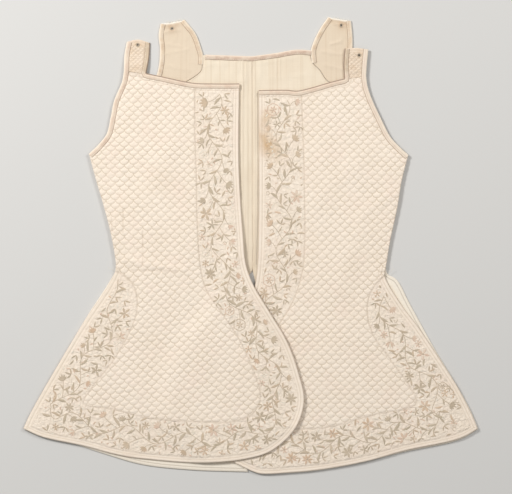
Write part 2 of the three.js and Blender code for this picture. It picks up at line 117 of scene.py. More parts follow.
def distance(x, y, line):
    """How far each spot is from a line."""
    nearest = np.full(np.shape(x), 1e9)
    for (ax, ay), (bx, by) in zip(line[:-1], line[1:]):
        rx, ry = bx - ax, by - ay
        t = np.clip(((x - ax) * rx + (y - ay) * ry) / (rx * rx + ry * ry + 1e-12), 0, 1)
        nearest = np.minimum(nearest, (x - ax - t * rx) ** 2 + (y - ay - t * ry) ** 2)
    return np.sqrt(nearest)


def smooth(value, low, high):
    """0 at low and 1 at high, with a soft start and end."""
    t = np.clip((value - low) / (high - low), 0, 1)
    return t * t * (3 - 2 * t)


def hump(off, width):
    """1 on a line and next to nothing two widths off it."""
    return np.exp(-((off / width) ** 2))


def waves(x, y, size, seed):
    """Gentle unevenness from -1 to 1 with hollows about a size apart."""
    chance = np.random.default_rng(seed)
    total = 0.0
    for _ in range(6):
        turn, phase = chance.uniform(0, 2 * math.pi, 2)
        pitch = 2 * math.pi / (size * chance.uniform(0.7, 1.5))
        total = total + np.sin((x * math.cos(turn) + y * math.sin(turn)) * pitch + phase)
    return total / 3.5


def creases(x, y, rows):
    """Folds pressed in: each row is x, y to x, y, then half width and height."""
    total = np.zeros(np.shape(x))
    for ax, ay, bx, by, width, height in rows:
        off = distance(x, y, np.array([(ax, ay), (bx, by)]))
        total = total + height * hump(off, width)
    return total


def cut_panel(outline, corners, columns, rows, height, under, turned=()):
    """Cloth laid over an outline between its four corners, from the top left one clockwise. Each ring that
    is turned down has its reach past the last ring, and its share of the wall's height."""
    at = [int(np.argmin(np.linalg.norm(outline - corner, axis=1))) for corner in corners]

    def side(start, end, count):
        stop = at[end] if at[end] > at[start] else at[end] + len(outline)
        return spaced(outline[np.arange(at[start], stop + 1) % len(outline)], count=count)

    top, right = side(0, 1, columns), side(1, 2, rows)[::-1]
    bottom, left = side(2, 3, columns)[::-1], side(3, 0, rows)
    u = np.linspace(0, 1, columns + 1)[None, :, None]
    v = np.linspace(0, 1, rows + 1)[:, None, None]
    place = (1 - v) * bottom[None] + v * top[None] + (1 - u) * left[:, None] + u * right[:, None]
    place = place - (1 - u) * ((1 - v) * bottom[0] + v * top[0]) - u * ((1 - v) * bottom[-1] + v * top[-1])
    place = place.reshape(-1, 2)

    bm = bmesh.new()
    bmesh.ops.create_grid(bm, x_segments=columns, y_segments=rows, size=0.5)
    flat = np.array([vert.co.xy for vert in bm.verts])
    i, j = np.rint((flat[:, 0] + 0.5) * columns), np.rint((flat[:, 1] + 0.5) * rows)
    place = place[(j * (columns + 1) + i).astype(int)]
    spots = np.column_stack([place, height(place[:, 0], place[:, 1])]) * MM
    for vert, spot in zip(bm.verts, spots):
        vert.co = spot
    outward = moved_in(outline, -1, closed=True) - outline
    for reach, share in turned:
        rim = [edge for edge in bm.edges if edge.is_boundary]
        made = bmesh.ops.extrude_edge_only(bm, edges=rim)["geom"]
        verts = [vert for vert in made if isinstance(vert, bmesh.types.BMVert)]
        spots = np.array([vert.co.xy for vert in verts]) / MM
        nearest = np.argmin(((spots[:, None] - outline[None]) ** 2).sum(-1), axis=1)
        spots = spots + reach * outward[nearest]
        low = under(spots[:, 0], spots[:, 1]) + share * WALL
        for vert, spot in zip(verts, np.column_stack([spots, low]) * MM):
            vert.co = spot
    return bm


def finished(name, mesh, finish):
    """A mesh as a piece on the garment's one body."""
    mesh.shade_smooth()
    mesh.materials.append(finish)
    piece = bpy.data.objects.new(name, mesh)
    bpy.context.scene.collection.objects.link(piece)
    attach(piece, "root")
    return piece


def made_up(name, bm, finish):
    """A panel or tape as a finished piece."""
    mesh = bpy.data.meshes.new(name)
    bm.to_mesh(mesh)
    bm.free()
    return finished(name, mesh, finish)


class Strand:
    """One wire between the nodes of a finish, for arithmetic."""

    def __init__(self, finish, socket):
        self.finish, self.socket = finish, socket

    def maths(self, operation, *values):
        return self.finish.node("ShaderNodeMath", {"operation": operation}, dict(enumerate(values)))

    def out(self, name):
        """Another wire out of the same node."""
        return Strand(self.finish, self.socket.node.outputs[name])

    def sine(self, length):
        """A wave that repeats each length."""
        return self.maths("SINE", self * (2 * math.pi / length))

    def __rsub__(self, other):
        return self.maths("SUBTRACT", other, self)

    def __abs__(self):
        return self.maths("ABSOLUTE", self)

    __add__ = __radd__ = lambda self, other: self.maths("ADD", self, other)
    __mul__ = __rmul__ = lambda self, other: self.maths("MULTIPLY", self, other)
    __sub__ = lambda self, other: self.maths("SUBTRACT", self, other)


class Finish:
    """A cloth's finish, built node by node."""

    def __init__(self, name):
        self.material = bpy.data.materials.new(name)
        self.material.use_nodes = True
        self.tree = self.material.node_tree
        self.tree.nodes.clear()

    def node(self, kind, settings=None, sockets=None, output=0):
        made = self.tree.nodes.new(kind)
        for key, value in (settings or {}).items():
            if key == "stops":
                for spare in range(len(value) - 2):
                    made.color_ramp.elements.new(0.5)
                for stop, (at, colour) in zip(made.color_ramp.elements, value):
                    stop.position, stop.color = at, (*colour, 1)
            else:
                setattr(made, key, value)
        for key, value in (sockets or {}).items():
            if isinstance(value, Strand):
                self.tree.links.new(value.socket, made.inputs[key])
            else:
                made.inputs[key].default_value = value
        return Strand(self, made.outputs[output]) if made.outputs else None

    def blend(self, share, first, second):
        """The first colour, with a share of the second."""
        first, second = ((*c, 1) if isinstance(c, tuple) else c for c in (first, second))
        return self.node("ShaderNodeMix", {"data_type": "RGBA"}, {0: share, 6: first, 7: second}, 2)

    def place(self, scale):
        """The spot on the piece in millimetres, stretched by scale."""
        spot = self.node("ShaderNodeTexCoord", output="Object")
        return self.node("ShaderNodeMapping", {}, {"Vector": spot, "Scale": tuple(1000 * s for s in scale)})

    def tint(self, share, tone):
        """Turns a share of the cloth's colour to another tone."""
        self.colour = self.blend(share, self.colour, tone)

    def parts(self, vector):
        first = self.node("ShaderNodeSeparateXYZ", {}, {0: vector})
        return first, first.out("Y")

    def spot(self):
        """The spot on the piece in millimetres, across and up."""
        return self.parts(self.place((1, 1, 1)))

    def seat(self):
        """The place in the quilting, or along and across a tape or a stroke."""
        return self.parts(self.node("ShaderNodeUVMap", {"uv_map": "scales"}))

    def noise(self, scale, detail=2.0):
        spot = self.place(scale if isinstance(scale, tuple) else (scale, scale, scale))
        return self.node("ShaderNodeTexNoise", {}, {"Vector": spot, "Scale": 1.0, "Detail": detail}, "Fac")

    def reading(self, name):
        return self.node("ShaderNodeAttribute", {"attribute_name": name}, output="Fac")

    def clipped(self, value, low, high):
        """0 at low and 1 at high."""
        settings = {"interpolation_type": "SMOOTHSTEP"}
        return self.node("ShaderNodeMapRange", settings, {"Value": value, "From Min": low, "From Max": high})

    def stripe(self, value, at, near, far):
        """1 within near of a place and 0 beyond far."""
        return 1 - self.clipped(abs(value - at), near, far)

    def weave(self):
        """Height of a plain linen weave with its thick and thin threads."""
        across, up = self.spot()
        slub = self.noise((1.4, 0.03, 0.03)) + self.noise((0.03, 1.3, 0.03))
        return across.sine(0.62) * up.sine(0.66) * 0.05 + slub * 0.22

    def slubs(self, warp):
        """Where a thick thread runs up the cloth or across it."""
        return self.clipped(self.noise((warp, 0.02, 0.02)) * 0.5 + self.noise((0.02, 0.9, 0.02)) * 0.5, 0.35, 0.7)

    def cloth(self, height, roughness=0.88, sheen=0.25):
        bump = self.node("ShaderNodeBump", {}, {"Strength": 0.9, "Distance": MM, "Height": height})
        rough = self.noise(0.3) * 0.1 + (roughness - 0.05)
        sockets = {"Base Color": self.colour, "Roughness": rough, "Normal": bump}
        sockets |= {"Sheen Weight": sheen, "Sheen Roughness": 0.6}
        shader = self.node("ShaderNodeBsdfPrincipled", {}, sockets)
        self.node("ShaderNodeOutputMaterial", {}, {"Surface": shader})
        return self.material


# Darker tan streaks down the middle of the lining: place across, half width and strength
LINING_STREAKS = ((CENTRE_BACK + 0.9, 0.8, 0.36), (-2.9, 1.7, 0.26), (-9.8, 1.3, 0.24), (7.2, 1.2, 0.2))
# Where the painted shadow line lies, read off the "hem" reading in millimetres
SHADE_LINE_AT = 4.2


def linen_lining(name):
    """Plain linen, yellowed unevenly, with a soft weave and a painted shadow line along its turned-in fold."""
    finish = Finish(name)
    finish.colour = finish.blend(finish.noise(0.018, 3.0), (0.835, 0.727, 0.578), (0.765, 0.648, 0.49))
    finish.tint(finish.slubs(1.1) * 0.3, (0.87, 0.77, 0.63))
    streaks = finish.clipped(finish.noise((0.35, 0.006, 0.03), 2.0), 0.5, 0.72)
    finish.tint(streaks * 0.35, (0.66, 0.52, 0.36))
    across = finish.spot()[0] + finish.noise(0.04) * 1.8
    for line, half, share in LINING_STREAKS:
        finish.tint(finish.stripe(across, line, 0.1, half) * share, (0.55, 0.43, 0.3))
    finish.tint(finish.reading("worn") * 0.8, (0.52, 0.34, 0.2))
    finish.tint(finish.reading("raw"), (0.93, 0.87, 0.77))
    # Painted shade: a dark line where the turned-in fold shades the lining, and the shadow of the left front's edge
    # in the opening
    fold_shadow_line = finish.stripe(finish.reading("hem"), SHADE_LINE_AT, 0.3, 1.0)
    finish.tint(fold_shadow_line * 0.5, (0.5, 0.42, 0.33))
    return finish.cloth(finish.weave() - fold_shadow_line * 0.3)


LINING = linen_lining("lining_linen")

# Folds pressed into the lining where it shows in the opening and above the neckline of the fronts
BACK_FOLDS = [
    (-10.8, 250, -11.6, -30, 1.4, 0.7),
    (-6.0, 170, -5.5, -30, 1.6, 0.35),
    (0.4, 252, 0.8, -32, 0.9, 0.5),
    (5.2, 235, 6.0, -20, 1.6, 0.5),
    (-15, 252, -13, 226, 1.6, 0.35),
    (12, 250, 13, 226, 2.2, 0.3),
    (34.5, 251, 34, 216, 0.8, 0.5),
    (39.5, 252, 39, 216, 0.8, 0.5),
    (-6.5, 250, -7.5, 224, 0.9, 0.45),
    (-14, 60, -9, -25, 2.0, 0.6),
    (9, 120, 3.5, -25, 2.4, 0.8),
    (-60, 244, -22, 247, 2.6, 0.5),
    (12, 246, 60, 254, 2.6, 0.5),
    (-78, 226, -66, 240, 2.2, 0.6),
    (-40, 226, -8, 222, 3.0, 0.5),
    (20, 224, 75, 230, 3.0, 0.5),
]
# The painted shadow line on the lining beside the left front's edge in the opening: heights, then places across
OPENING_SHADOW_LINE = [(-28, 34, 209), (7.6, 9.7, 9.5)]
OPENING_TOP, OPENING_HALF = 206, 60


def back_top(x, y):
    """Height of the lining, which ripples only where nothing lies on it."""
    free = np.maximum(1 - smooth(np.abs(x + 2), 10, 22), smooth(y, 218, 232)) * smooth(-np.abs(y - 100), -400, -150)
    ripple = creases(x, y, BACK_FOLDS) + 0.25 * waves(x, y, 14, 3)
    return WALL + free * (ripple - 0.1 * hump(x - CENTRE_BACK, 0.9))


def on_table(x, y):
    return 0 * x


# A turned edge: each ring's reach past the last one, and its share of the wall's height
TURNED = ((0.3, 0.86), (0.3, 0.5), (-0.3, 0.14), (-0.5, 0.0))
TURNED_REACH, UNDERSIDE_INSET = 0.6, 1.1
LINING_GRID, OUTSIDE_GRID = (124, 216), (96, 168)


def edge_of(outline):
    """The outline drawn in by what its turned edge reaches."""
    return moved_in(outline, TURNED_REACH, closed=True)


def closed_seam(outline, near, reach):
    """Moves the centre back edge, down to the vent, on into the seam."""
    sewn = (np.abs(outline[:, 0] - CENTRE_BACK) < near) & (outline[:, 1] > VENT_TOP)
    outline[sewn, 0] += reach * np.sign(CENTRE_BACK - outline[sewn, 0])
    return outline


def lining_back(name, outline, corners, node):
    edge = closed_seam(edge_of(outline), 1.5, 0.7)
    bm = cut_panel(edge, corners, *LINING_GRID, back_top, on_table, TURNED)
    piece = made_up(name, bm, LINING)
    x, y = spots_of(piece)
    hem = distance(x, y, outline)
    keep(piece, "worn", 0.16 * hump(hem, 3) + 0.1 * np.clip(waves(x, y, 60, 8), 0, 1))
    outer = np.maximum(smooth(-y, 150, 200), smooth(np.abs(x), 140, 165) * smooth(-y, 20, 35))
    keep(piece, "raw", 0.6 * (1 - smooth(hem, 8, 16)) * outer)
    # The painted shadow of the left front's edge, which falls on the lining beside it in the opening
    front_shadow_reading = SHADE_LINE_AT + np.interp(y, *OPENING_SHADOW_LINE) - x
    opening = (y > VENT_TOP) & (y < OPENING_TOP) & (np.abs(x) < OPENING_HALF)
    keep(piece, "hem", np.where(opening, front_shadow_reading, hem + 20 * (1 - outer)))
    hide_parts(node)


def spots_of(piece):
    """Where a piece's points are, in millimetres across and up."""
    spots = np.empty(len(piece.data.vertices) * 3, np.float32)
    piece.data.vertices.foreach_get("co", spots)
    return spots.reshape(-1, 3)[:, :2].astype(float).T / MM


def keep(piece, name, values):
    """Writes a value for each point of the piece, which its finish reads."""
    column = piece.data.attributes.new(name, "FLOAT", "POINT")
    column.data.foreach_set("value", np.asarray(values, np.float32))


right_back_lines = (
    RIGHT_BACK_NECK, RIGHT_VENT, RIGHT_BACK_HEM, RIGHT_BACK_SLIT, RIGHT_SIDE, RIGHT_BACK_ARMHOLE, RIGHT_STRAP_SEAM,
)
left_back_lines = (
    LEFT_BACK_NECK, LEFT_STRAP_SEAM, LEFT_BACK_ARMHOLE, LEFT_SIDE, LEFT_BACK_SLIT, LEFT_BACK_HEM, LEFT_VENT,
)
right_back = ring(*map(smooth_line, right_back_lines))
left_back = ring(*map(smooth_line, left_back_lines))
RIGHT_BACK_CORNERS = [(-65.3, 257.4), (CENTRE_BACK, 255.1), (-4, -306), (-303, -246)]
LEFT_BACK_CORNERS = [(CENTRE_BACK, 255.1), (82, 263), (307.5, -248), (8, -307.5)]
lining_back("back_right_lining", right_back, RIGHT_BACK_CORNERS, "back_right")
lining_back("back_left_lining", left_back, LEFT_BACK_CORNERS, "back_left")


# ---- The backs' quilted outsides ----
# The outer linen of the backs, stitched through wadding and lining in rows of hanging scales. It lies face
# down on the table, so its scales are pressed flat.

SCALE_WIDTH = 12.4
SCALE_ROW = 5.93
RIM_STITCHES, RIM_LINE, TAPE_LINE = 4.4, 7.9, 8.4
QUILT_START = (0.0, -320.0)


def scales(x, y, corner, lean=None, middle=0.0):
    """Place in the quilting, in scale widths and rows, with the hand's unevenness. lean is the slope of the
    rows at a height."""
    level = y
    for _ in range(4 if lean else 0):
        level = y - lean(level) * (x - middle)
    u = (x - corner[0]) / SCALE_WIDTH + 0.035 * waves(x, y, 38, 11) + 0.02 * waves(x, y, 13, 14)
    v = (level - corner[1]) / SCALE_ROW + 0.07 * waves(x, y, 31, 12) + 0.05 * waves(x, y, 12, 15)
    return u, v


def from_seam(u, v):
    """Millimetres to the nearest stitched line: each scale hangs round side down from the row above it."""
    nearest = 1e9
    for above in (0, 1):
        row = np.floor(v) + above
        across = (np.mod(u - 0.5 * np.mod(row + 1, 2), 1) - 0.5) * SCALE_WIDTH
        down = (row + 1 - v) * SCALE_ROW
        nearest = np.minimum(nearest, np.abs(np.hypot(across, down) - SCALE_WIDTH / 2))
    return nearest


def keep_scales(piece, u, v):
    """Writes the place in the quilting to the piece's UV map."""
    index = np.empty(len(piece.data.loops), np.int32)
    piece.data.loops.foreach_get("vertex_index", index)
    layer = piece.data.uv_layers.new(name="scales")
    layer.data.foreach_set("uv", np.column_stack([u, v])[index].astype(np.float32).ravel())


def quilted_linen(name):
    """White linen with tan stitched scales inside the field and a plain border outside it."""
    finish = Finish(name)
    u, v = finish.seat()
    found = []
    for above in (0, 1):
        row = v.maths("FLOOR", v) + above
        across = (u.maths("FRACT", u - row.maths("FLOORED_MODULO", row + 1, 2) * 0.5) - 0.5) * SCALE_WIDTH
        down = (row + 1 - v) * SCALE_ROW
        radius = u.maths("SQRT", across * across + down * down)
        found.append(abs(radius - SCALE_WIDTH / 2))
        if above == 0:
            along = u.maths("ARCTAN2", across, down) * (SCALE_WIDTH / 2)
    seam = u.maths("MINIMUM", *found)
    field = finish.reading("field")
    line = (1 - finish.clipped(seam, 0.15, 0.95)) * field
    dash = finish.clipped(along.sine(2.4), -0.7, 0.1)
    thread = (1 - finish.clipped(seam, 0.12, 0.34)) * dash * field
    finish.colour = finish.blend(finish.noise(0.02, 3.0), (0.9, 0.79, 0.67), (0.84, 0.71, 0.57))
    finish.tint(finish.slubs(1.0) * 0.25, (0.93, 0.84, 0.74))
    faded = finish.clipped(finish.noise(0.05, 2.0), 0.25, 0.75) * 0.3 + 0.28
    finish.tint(line * faded, (0.56, 0.44, 0.3))
    finish.tint(thread * 0.35, (0.5, 0.4, 0.27))
    rim = finish.reading("rim")
    rows = finish.stripe(rim, RIM_STITCHES, 0.25, 1.1) + finish.stripe(rim, RIM_LINE, 0.25, 1.0) * 0.7
    rows = rows + finish.stripe(finish.reading("bound"), TAPE_LINE, 0.25, 1.0) * 1.1
    finish.tint(rows * 0.36, (0.6, 0.47, 0.34))
    # Edge grime and painted shade where the rolled edge turns down, within 1.5 mm of the free edge
    edge_grime_and_shade = (1 - finish.clipped(rim, 0.0, 1.5)) * 0.5
    finish.tint(edge_grime_and_shade, (0.55, 0.42, 0.3))
    finish.tint(finish.reading("sewn") * 0.6, (0.5, 0.38, 0.28))
    plain = (1 - field) * finish.clipped(rim, 6.0, 9.0)
    settings = {"Vector": finish.place((0.17, 0.17, 0.17)), "Scale": 1.0, "Randomness": 1.0}
    cells = finish.node("ShaderNodeTexVoronoi", {"feature": "DISTANCE_TO_EDGE"}, settings, "Distance")
    # Painted shade in the creases of the border's puckers, along the cell edges
    pucker_shade = (1 - finish.clipped(cells, 0.0, 0.2)) * plain
    finish.tint(pucker_shade * 0.22, (0.64, 0.52, 0.38))
    blush = finish.clipped(finish.noise(0.045, 3.0), 0.45, 0.75)
    finish.tint(blush * 0.25, (0.86, 0.68, 0.57))
    worn = finish.reading("worn") * finish.noise(0.12, 3.0)
    finish.tint(worn * 1.5, (0.55, 0.35, 0.17))
    puff = finish.clipped(seam, 0.0, 2.2) * field * 0.22
    rumple = finish.noise(0.2, 3.0) * (plain * 1.6 + 0.7) - pucker_shade * 0.35
    return finish.cloth(puff + rumple + thread * 0.12 + finish.weave(), roughness=0.86)


QUILTED = quilted_linen("quilted_linen")


def other_face(bm, name, finish, eyelet=None):
    """A panel turned to look down, as the side that is hidden while the garment lies."""
    if eyelet:
        pierce(bm, eyelet)
    bmesh.ops.reverse_faces(bm, faces=bm.faces)
    return made_up(name, bm, finish)


def quilted_back(name, outline, corners):
    flat = closed_seam(moved_in(outline, UNDERSIDE_INSET, closed=True), 2, 1.2)
    bm = cut_panel(flat, corners, *OUTSIDE_GRID, on_table, on_table)
    piece = other_face(bm, name, QUILTED)
    x, y = spots_of(piece)
    keep_scales(piece, *scales(x, y, QUILT_START))
    hem = distance(x, y, outline)
    keep(piece, "field", smooth(hem, 8, 10))
    keep(piece, "rim", hem)


quilted_back("back_right_outside", right_back, RIGHT_BACK_CORNERS)
quilted_back("back_left_outside", left_back, LEFT_BACK_CORNERS)

# ---- The back shoulder straps ----
# Wide tapering straps of the same quilted linen, lining up, sewn to each back in a curved seam. Each ends
# in a frayed raw top with one eyelet for the ribbon that ties it to the front strap.

RIGHT_BACK_STRAP_TIP = [(-121.2, 299.7), (-104, 302), (-90.2, 305)]
RIGHT_BACK_STRAP_INNER = [(-90.2, 305), (-75.2, 285.7), (-68, 267), (-65.3, 257.4)]
RIGHT_BACK_STRAP_OUTER = [(-140, 205), (-126, 232), (-122, 263), (-123.8, 285), (-121.2, 299.7)]
LEFT_BACK_STRAP_TIP = [(105.2, 308.5), (120, 306), (134.5, 303.6)]
LEFT_BACK_STRAP_OUTER = [(134.5, 303.6), (136.6, 283.4), (137, 245), (143, 208)]
LEFT_BACK_STRAP_INNER = [(82, 263), (85, 274), (94.8, 293.6), (105.2, 308.5)]
EYELET_RADIUS = 1.75
NO_RIM = 20
BACK_STRAP_GRID = (66, 84)
BACK_STRAP_FOLDS = [
    (-118, 259, -86, 265, 2.2, 0.4),
    (-114, 272, -92, 268, 1.8, 0.35),
    (-112, 243, -82, 237, 2.6, 0.3),
    (-118, 288, -96, 291, 2.0, 0.5),
    (-104, 300, -100, 282, 1.6, 0.4),
    (108, 272, 122, 276, 2.0, 0.6),
    (96, 262, 122, 258, 2.4, 0.5),
    (112, 300, 128, 296, 1.6, 0.5),
    (100, 244, 126, 238, 2.6, 0.5),
]


def strap_top(x, y):
    return WALL + creases(x, y, BACK_STRAP_FOLDS) + 0.15 * np.clip(waves(x, y, 16, 5), 0, 1)


def pierce(bm, centre, drop=0.0):
    """Cuts an eyelet through a panel and turns its edge down."""
    middle, radius = np.array(centre) * MM, EYELET_RADIUS * MM
    near = [face for face in bm.faces if math.dist(face.calc_center_median().xy, middle) < radius]
    bmesh.ops.delete(bm, geom=near, context="FACES")
    rim = [e for e in bm.edges if e.is_boundary and all(math.dist(v.co.xy, middle) < 2 * radius for v in e.verts)]
    for vert in {vert for edge in rim for vert in edge.verts}:
        vert.co.xy = Vector(middle) + (vert.co.xy - Vector(middle)).normalized() * radius
    if not drop:
        return
    made = bmesh.ops.extrude_edge_only(bm, edges=rim)["geom"]
    wall = [vert for vert in made if isinstance(vert, bmesh.types.BMVert)]
    bmesh.ops.translate(bm, verts=wall, vec=(0, 0, -drop * MM))


def round_falloff(x, y, centre, reach):
    """1 at a centre, fading over its reach."""
    return np.exp(-(((x - centre[0]) ** 2 + (y - centre[1]) ** 2) / reach**2))


def back_strap(name, seam, up, tip, down, corners, eyelet, node):
    """A strap from its seam up one side, over the frayed tip and down the other side."""
    sewn = moved_in(smooth_line(seam)[::-1], GAP)
    torn = smooth_line(tip, 1.0)
    torn[1:-1, 1] += 0.5 * waves(torn[1:-1, 0], torn[1:-1, 1], 4.5, 41)
    outline = ring(sewn, smooth_line(up), torn, smooth_line(down))
    bm = cut_panel(edge_of(outline), corners, *BACK_STRAP_GRID, strap_top, on_table, TURNED)
    pierce(bm, eyelet, WALL)
    piece = made_up(name, bm, LINING)
    x, y = spots_of(piece)
    raw = distance(x, y, smooth_line(tip))
    # Soil round the eyelet, and painted dark on the hole's wall and rim
    eyelet_soil_and_shade = 0.25 * round_falloff(x, y, eyelet, 9) + 0.5 * round_falloff(x, y, eyelet, 3.2)
    band = 0.4 * hump(raw - 4.5, 2.6) * (0.6 + 0.4 * waves(x, y, 9, 6))
    keep(piece, "worn", np.clip(0.3 + eyelet_soil_and_shade + band, 0, 1))
    keep(piece, "raw", 0.9 * (1 - smooth(raw, 1.0, 2.6)))
    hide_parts(node)
    flat = moved_in(outline, UNDERSIDE_INSET, closed=True)
    bm = cut_panel(flat, corners, *BACK_STRAP_GRID, on_table, on_table)
    outside = other_face(bm, name + "_outside", QUILTED, eyelet)
    x, y = spots_of(outside)
    keep_scales(outside, *scales(x, y, QUILT_START))
    keep(outside, "field", smooth(distance(x, y, outline), 6, 8))
    keep(outside, "rim", NO_RIM + 0 * x)


RIGHT_BACK_EYELET = (-106.4, 293)
LEFT_BACK_EYELET = (122.2, 297.5)
back_strap(
    "strap_back_right_lining",
    RIGHT_STRAP_SEAM, RIGHT_BACK_STRAP_OUTER, RIGHT_BACK_STRAP_TIP, RIGHT_BACK_STRAP_INNER,
    [(-121.2, 299.7), (-90.2, 305), (-65.3, 257.4), (-140, 205)], RIGHT_BACK_EYELET, "strap_back_right",
)
back_strap(
    "strap_back_left_lining",
    LEFT_STRAP_SEAM, LEFT_BACK_STRAP_INNER, LEFT_BACK_STRAP_TIP, LEFT_BACK_STRAP_OUTER,
    [(105.2, 308.5), (134.5, 303.6), (143, 208), (82, 263)], LEFT_BACK_EYELET, "strap_back_left",
)

# ---- The bindings of the back ----
# Ribbed tape, once pink and now faded tan, folded over the raw neck edge and the sides of the straps and
# stitched down through all layers.

TAPE_STEP, TAPE_STITCHES = 1.8, 4.7
# The folded tape from its inner edge over the fold to the underside: distance in from the cut edge, height
TAPE_SECTION = [
    (6.0, 2.05), (5.9, 2.45), (5.2, 2.72), (3.6, 2.86), (1.8, 2.86), (0.5, 2.76), (-0.4, 2.4), (-0.85, 1.7),
    (-0.9, 1.0), (-0.7, 0.45), (-0.35, 0.3),
]


def binding_tape(name, pale, deep, fold_tone, strap_tone=None):
    """Ribs across the tape, rubbed to another tone on the fold, with its stitches near the inner edge. The
    part beside a strap may be of another dye."""
    finish = Finish(name)
    along, across = finish.seat()
    finish.colour = finish.blend(finish.clipped(finish.noise(0.06, 3.0), 0.3, 0.7), pale, deep)
    if strap_tone:
        finish.tint(finish.clipped(finish.spot()[1], 229, 236), strap_tone)
    rubbed = finish.clipped(finish.noise(0.13, 4.0), 0.42, 0.62)
    finish.tint(rubbed * 0.5, (0.84, 0.73, 0.59))
    # The line at 2.9 mm is a painted fold shadow along the middle of the tape's top
    edge, fold, crease_shade = (5.7, 0.1, 0.8, 0.8), (-0.5, 0.8, 1.4, 0.9), (2.9, 0.1, 0.7, 0.4)
    tones = {edge: (0.42, 0.29, 0.19), fold: fold_tone, crease_shade: (0.5, 0.37, 0.26)}
    for (at, near, far, share), tone in tones.items():
        finish.tint(finish.stripe(across, at, near, far) * share, tone)
    thread = finish.stripe(across, TAPE_STITCHES, 0.15, 0.4) * finish.clipped(along.sine(3.1), 0.0, 0.4)
    finish.tint(thread * 0.7, (0.85, 0.76, 0.64))
    height = along.sine(0.8) * 0.05 - finish.stripe(across, TAPE_STITCHES, 0.3, 1.0) * 0.25 + thread * 0.3
    return finish.cloth(height + finish.noise(0.5) * 0.1, roughness=0.8)


PALE_FOLD = (0.86, 0.75, 0.61)
DARK_FOLD, STRAP_TAN = (0.3, 0.2, 0.14), (0.62, 0.49, 0.35)
PINK_TAPE = binding_tape("binding_tape_pink", (0.8, 0.64, 0.51), (0.7, 0.53, 0.41), PALE_FOLD)
TAN_TAPE = binding_tape("binding_tape_tan", (0.76, 0.6, 0.43), (0.66, 0.5, 0.35), PALE_FOLD)
NECK_TAPE = binding_tape("binding_tape_worn", (0.82, 0.67, 0.53), (0.74, 0.57, 0.44), DARK_FOLD, STRAP_TAN)
BACK_TAPE = binding_tape("binding_tape_back", (0.7, 0.53, 0.41), (0.58, 0.41, 0.31), (0.79, 0.66, 0.53))
FADED_TAPE = binding_tape("binding_tape_faded", (0.84, 0.71, 0.58), (0.8, 0.65, 0.53), PALE_FOLD)


def bound(name, edge, under, finish, node):
    """Tape folded over a clockwise cut edge of the cloth on a given underside."""
    edge = spaced(edge, TAPE_STEP)
    strands = np.array([moved_in(edge, inward) for inward, _ in TAPE_SECTION])
    heights = np.array([height for _, height in TAPE_SECTION])[:, None]
    x, y = strands[..., 0], strands[..., 1]
    wobble = 0.12 * waves(x, y, 9, 21) * (heights > 1.5)
    z = under(x, y) + heights + wobble
    long, across = len(edge) - 1, len(TAPE_SECTION) - 1
    bm = bmesh.new()
    bmesh.ops.create_grid(bm, x_segments=long, y_segments=across, size=0.5)
    u, v = [], []
    for vert in bm.verts:
        k, c = round((vert.co.x + 0.5) * long), round((vert.co.y + 0.5) * across)
        u.append(k * TAPE_STEP)
        v.append(TAPE_SECTION[c][0])
        vert.co = (x[c, k] * MM, y[c, k] * MM, z[c, k] * MM)
    bm.normal_update()
    if sum(face.normal.z * face.calc_area() for face in bm.faces) < 0:
        bmesh.ops.reverse_faces(bm, faces=bm.faces)
    piece = made_up(name, bm, finish)
    keep_scales(piece, np.array(u), np.array(v))
    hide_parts(node)


right_inner = smooth_line([*RIGHT_BACK_STRAP_INNER, (-65, 250), (-65.3, 244.5)])
left_inner = smooth_line([(83.4, 246.5), (82.4, 254), *LEFT_BACK_STRAP_INNER])
right_outer, left_outer = smooth_line(RIGHT_BACK_STRAP_OUTER)[11:], smooth_line(LEFT_BACK_STRAP_OUTER)[:24]
bound("binding_strap_back_right_inner", right_inner, on_table, TAN_TAPE, "strap_tape_right_inner")
bound("binding_strap_back_right_outer", right_outer, on_table, TAN_TAPE, "strap_tape_right_outer")
bound("binding_strap_back_left_inner", left_inner, on_table, TAN_TAPE, "strap_tape_left_inner")
bound("binding_strap_back_left_outer", left_outer, on_table, TAN_TAPE, "strap_tape_left_outer")
back_neck_edge = np.vstack([smooth_line(RIGHT_BACK_NECK)[2:], smooth_line(LEFT_BACK_NECK)[1:]])
bound("binding_neck_back", back_neck_edge, on_table, BACK_TAPE, "neck_tape_back")

# ---- The left front ----
# White linen quilted in scales, with a plain embroidered border down the opening, along the hem and up the
# side slit, and a narrow rolled rim. It lies on the back, under the right front's lap.

VALLEY, CROWN, PUFF_REACH = 0.3, 0.9, 2.7
RIM, GROOVE = 5.5, 0.8
LEFT_NECK = [(10.7, 209), (48.5, 209.4), (62.4, 208.3), (76, 211), (109.5, 220.6), (127, 224.8)]
LEFT_ARMHOLE = [(155, 229), (157, 214.5), (163, 197), (174.4, 172.5), (188, 146), (201, 132), (212.5, 121.4)]
LEFT_SLIT = [
    (182.5, -30), (181, -41), (203.3, -80), (226, -110), (262, -164), (281, -194), (301, -234), (306.5, -248),
]
LEFT_HEM = [
    (306.5, -248), (282.4, -260.7), (206.8, -277.6), (156, -291.7), (93, -303), (55.6, -306.6), (15, -308.5),
    (3.6, -305.6), (-20, -294.7),
]
LEFT_FRONT_EDGE = [
    (-20, -294.7), (-44, -273.5), (-58, -258.7), (-71.3, -222), (-64.5, -171), (-41.6, -125), (-6.5, -80.5),
    (4.7, -56.6), (9, -28), (10.9, 34), (10.7, 209),
]
LEFT_FIELD_LINE = [
    (192, -32), (166, -56), (157, -84), (165, -120), (190, -156), (223, -213), (169, -228), (100, -245.8),
    (66, -247.6), (20, -246), (-9, -230), (-8, -195), (20, -134), (53, -83), (66, -50), (71.6, -20), (72, 98),
    (68.5, 202.5),
]
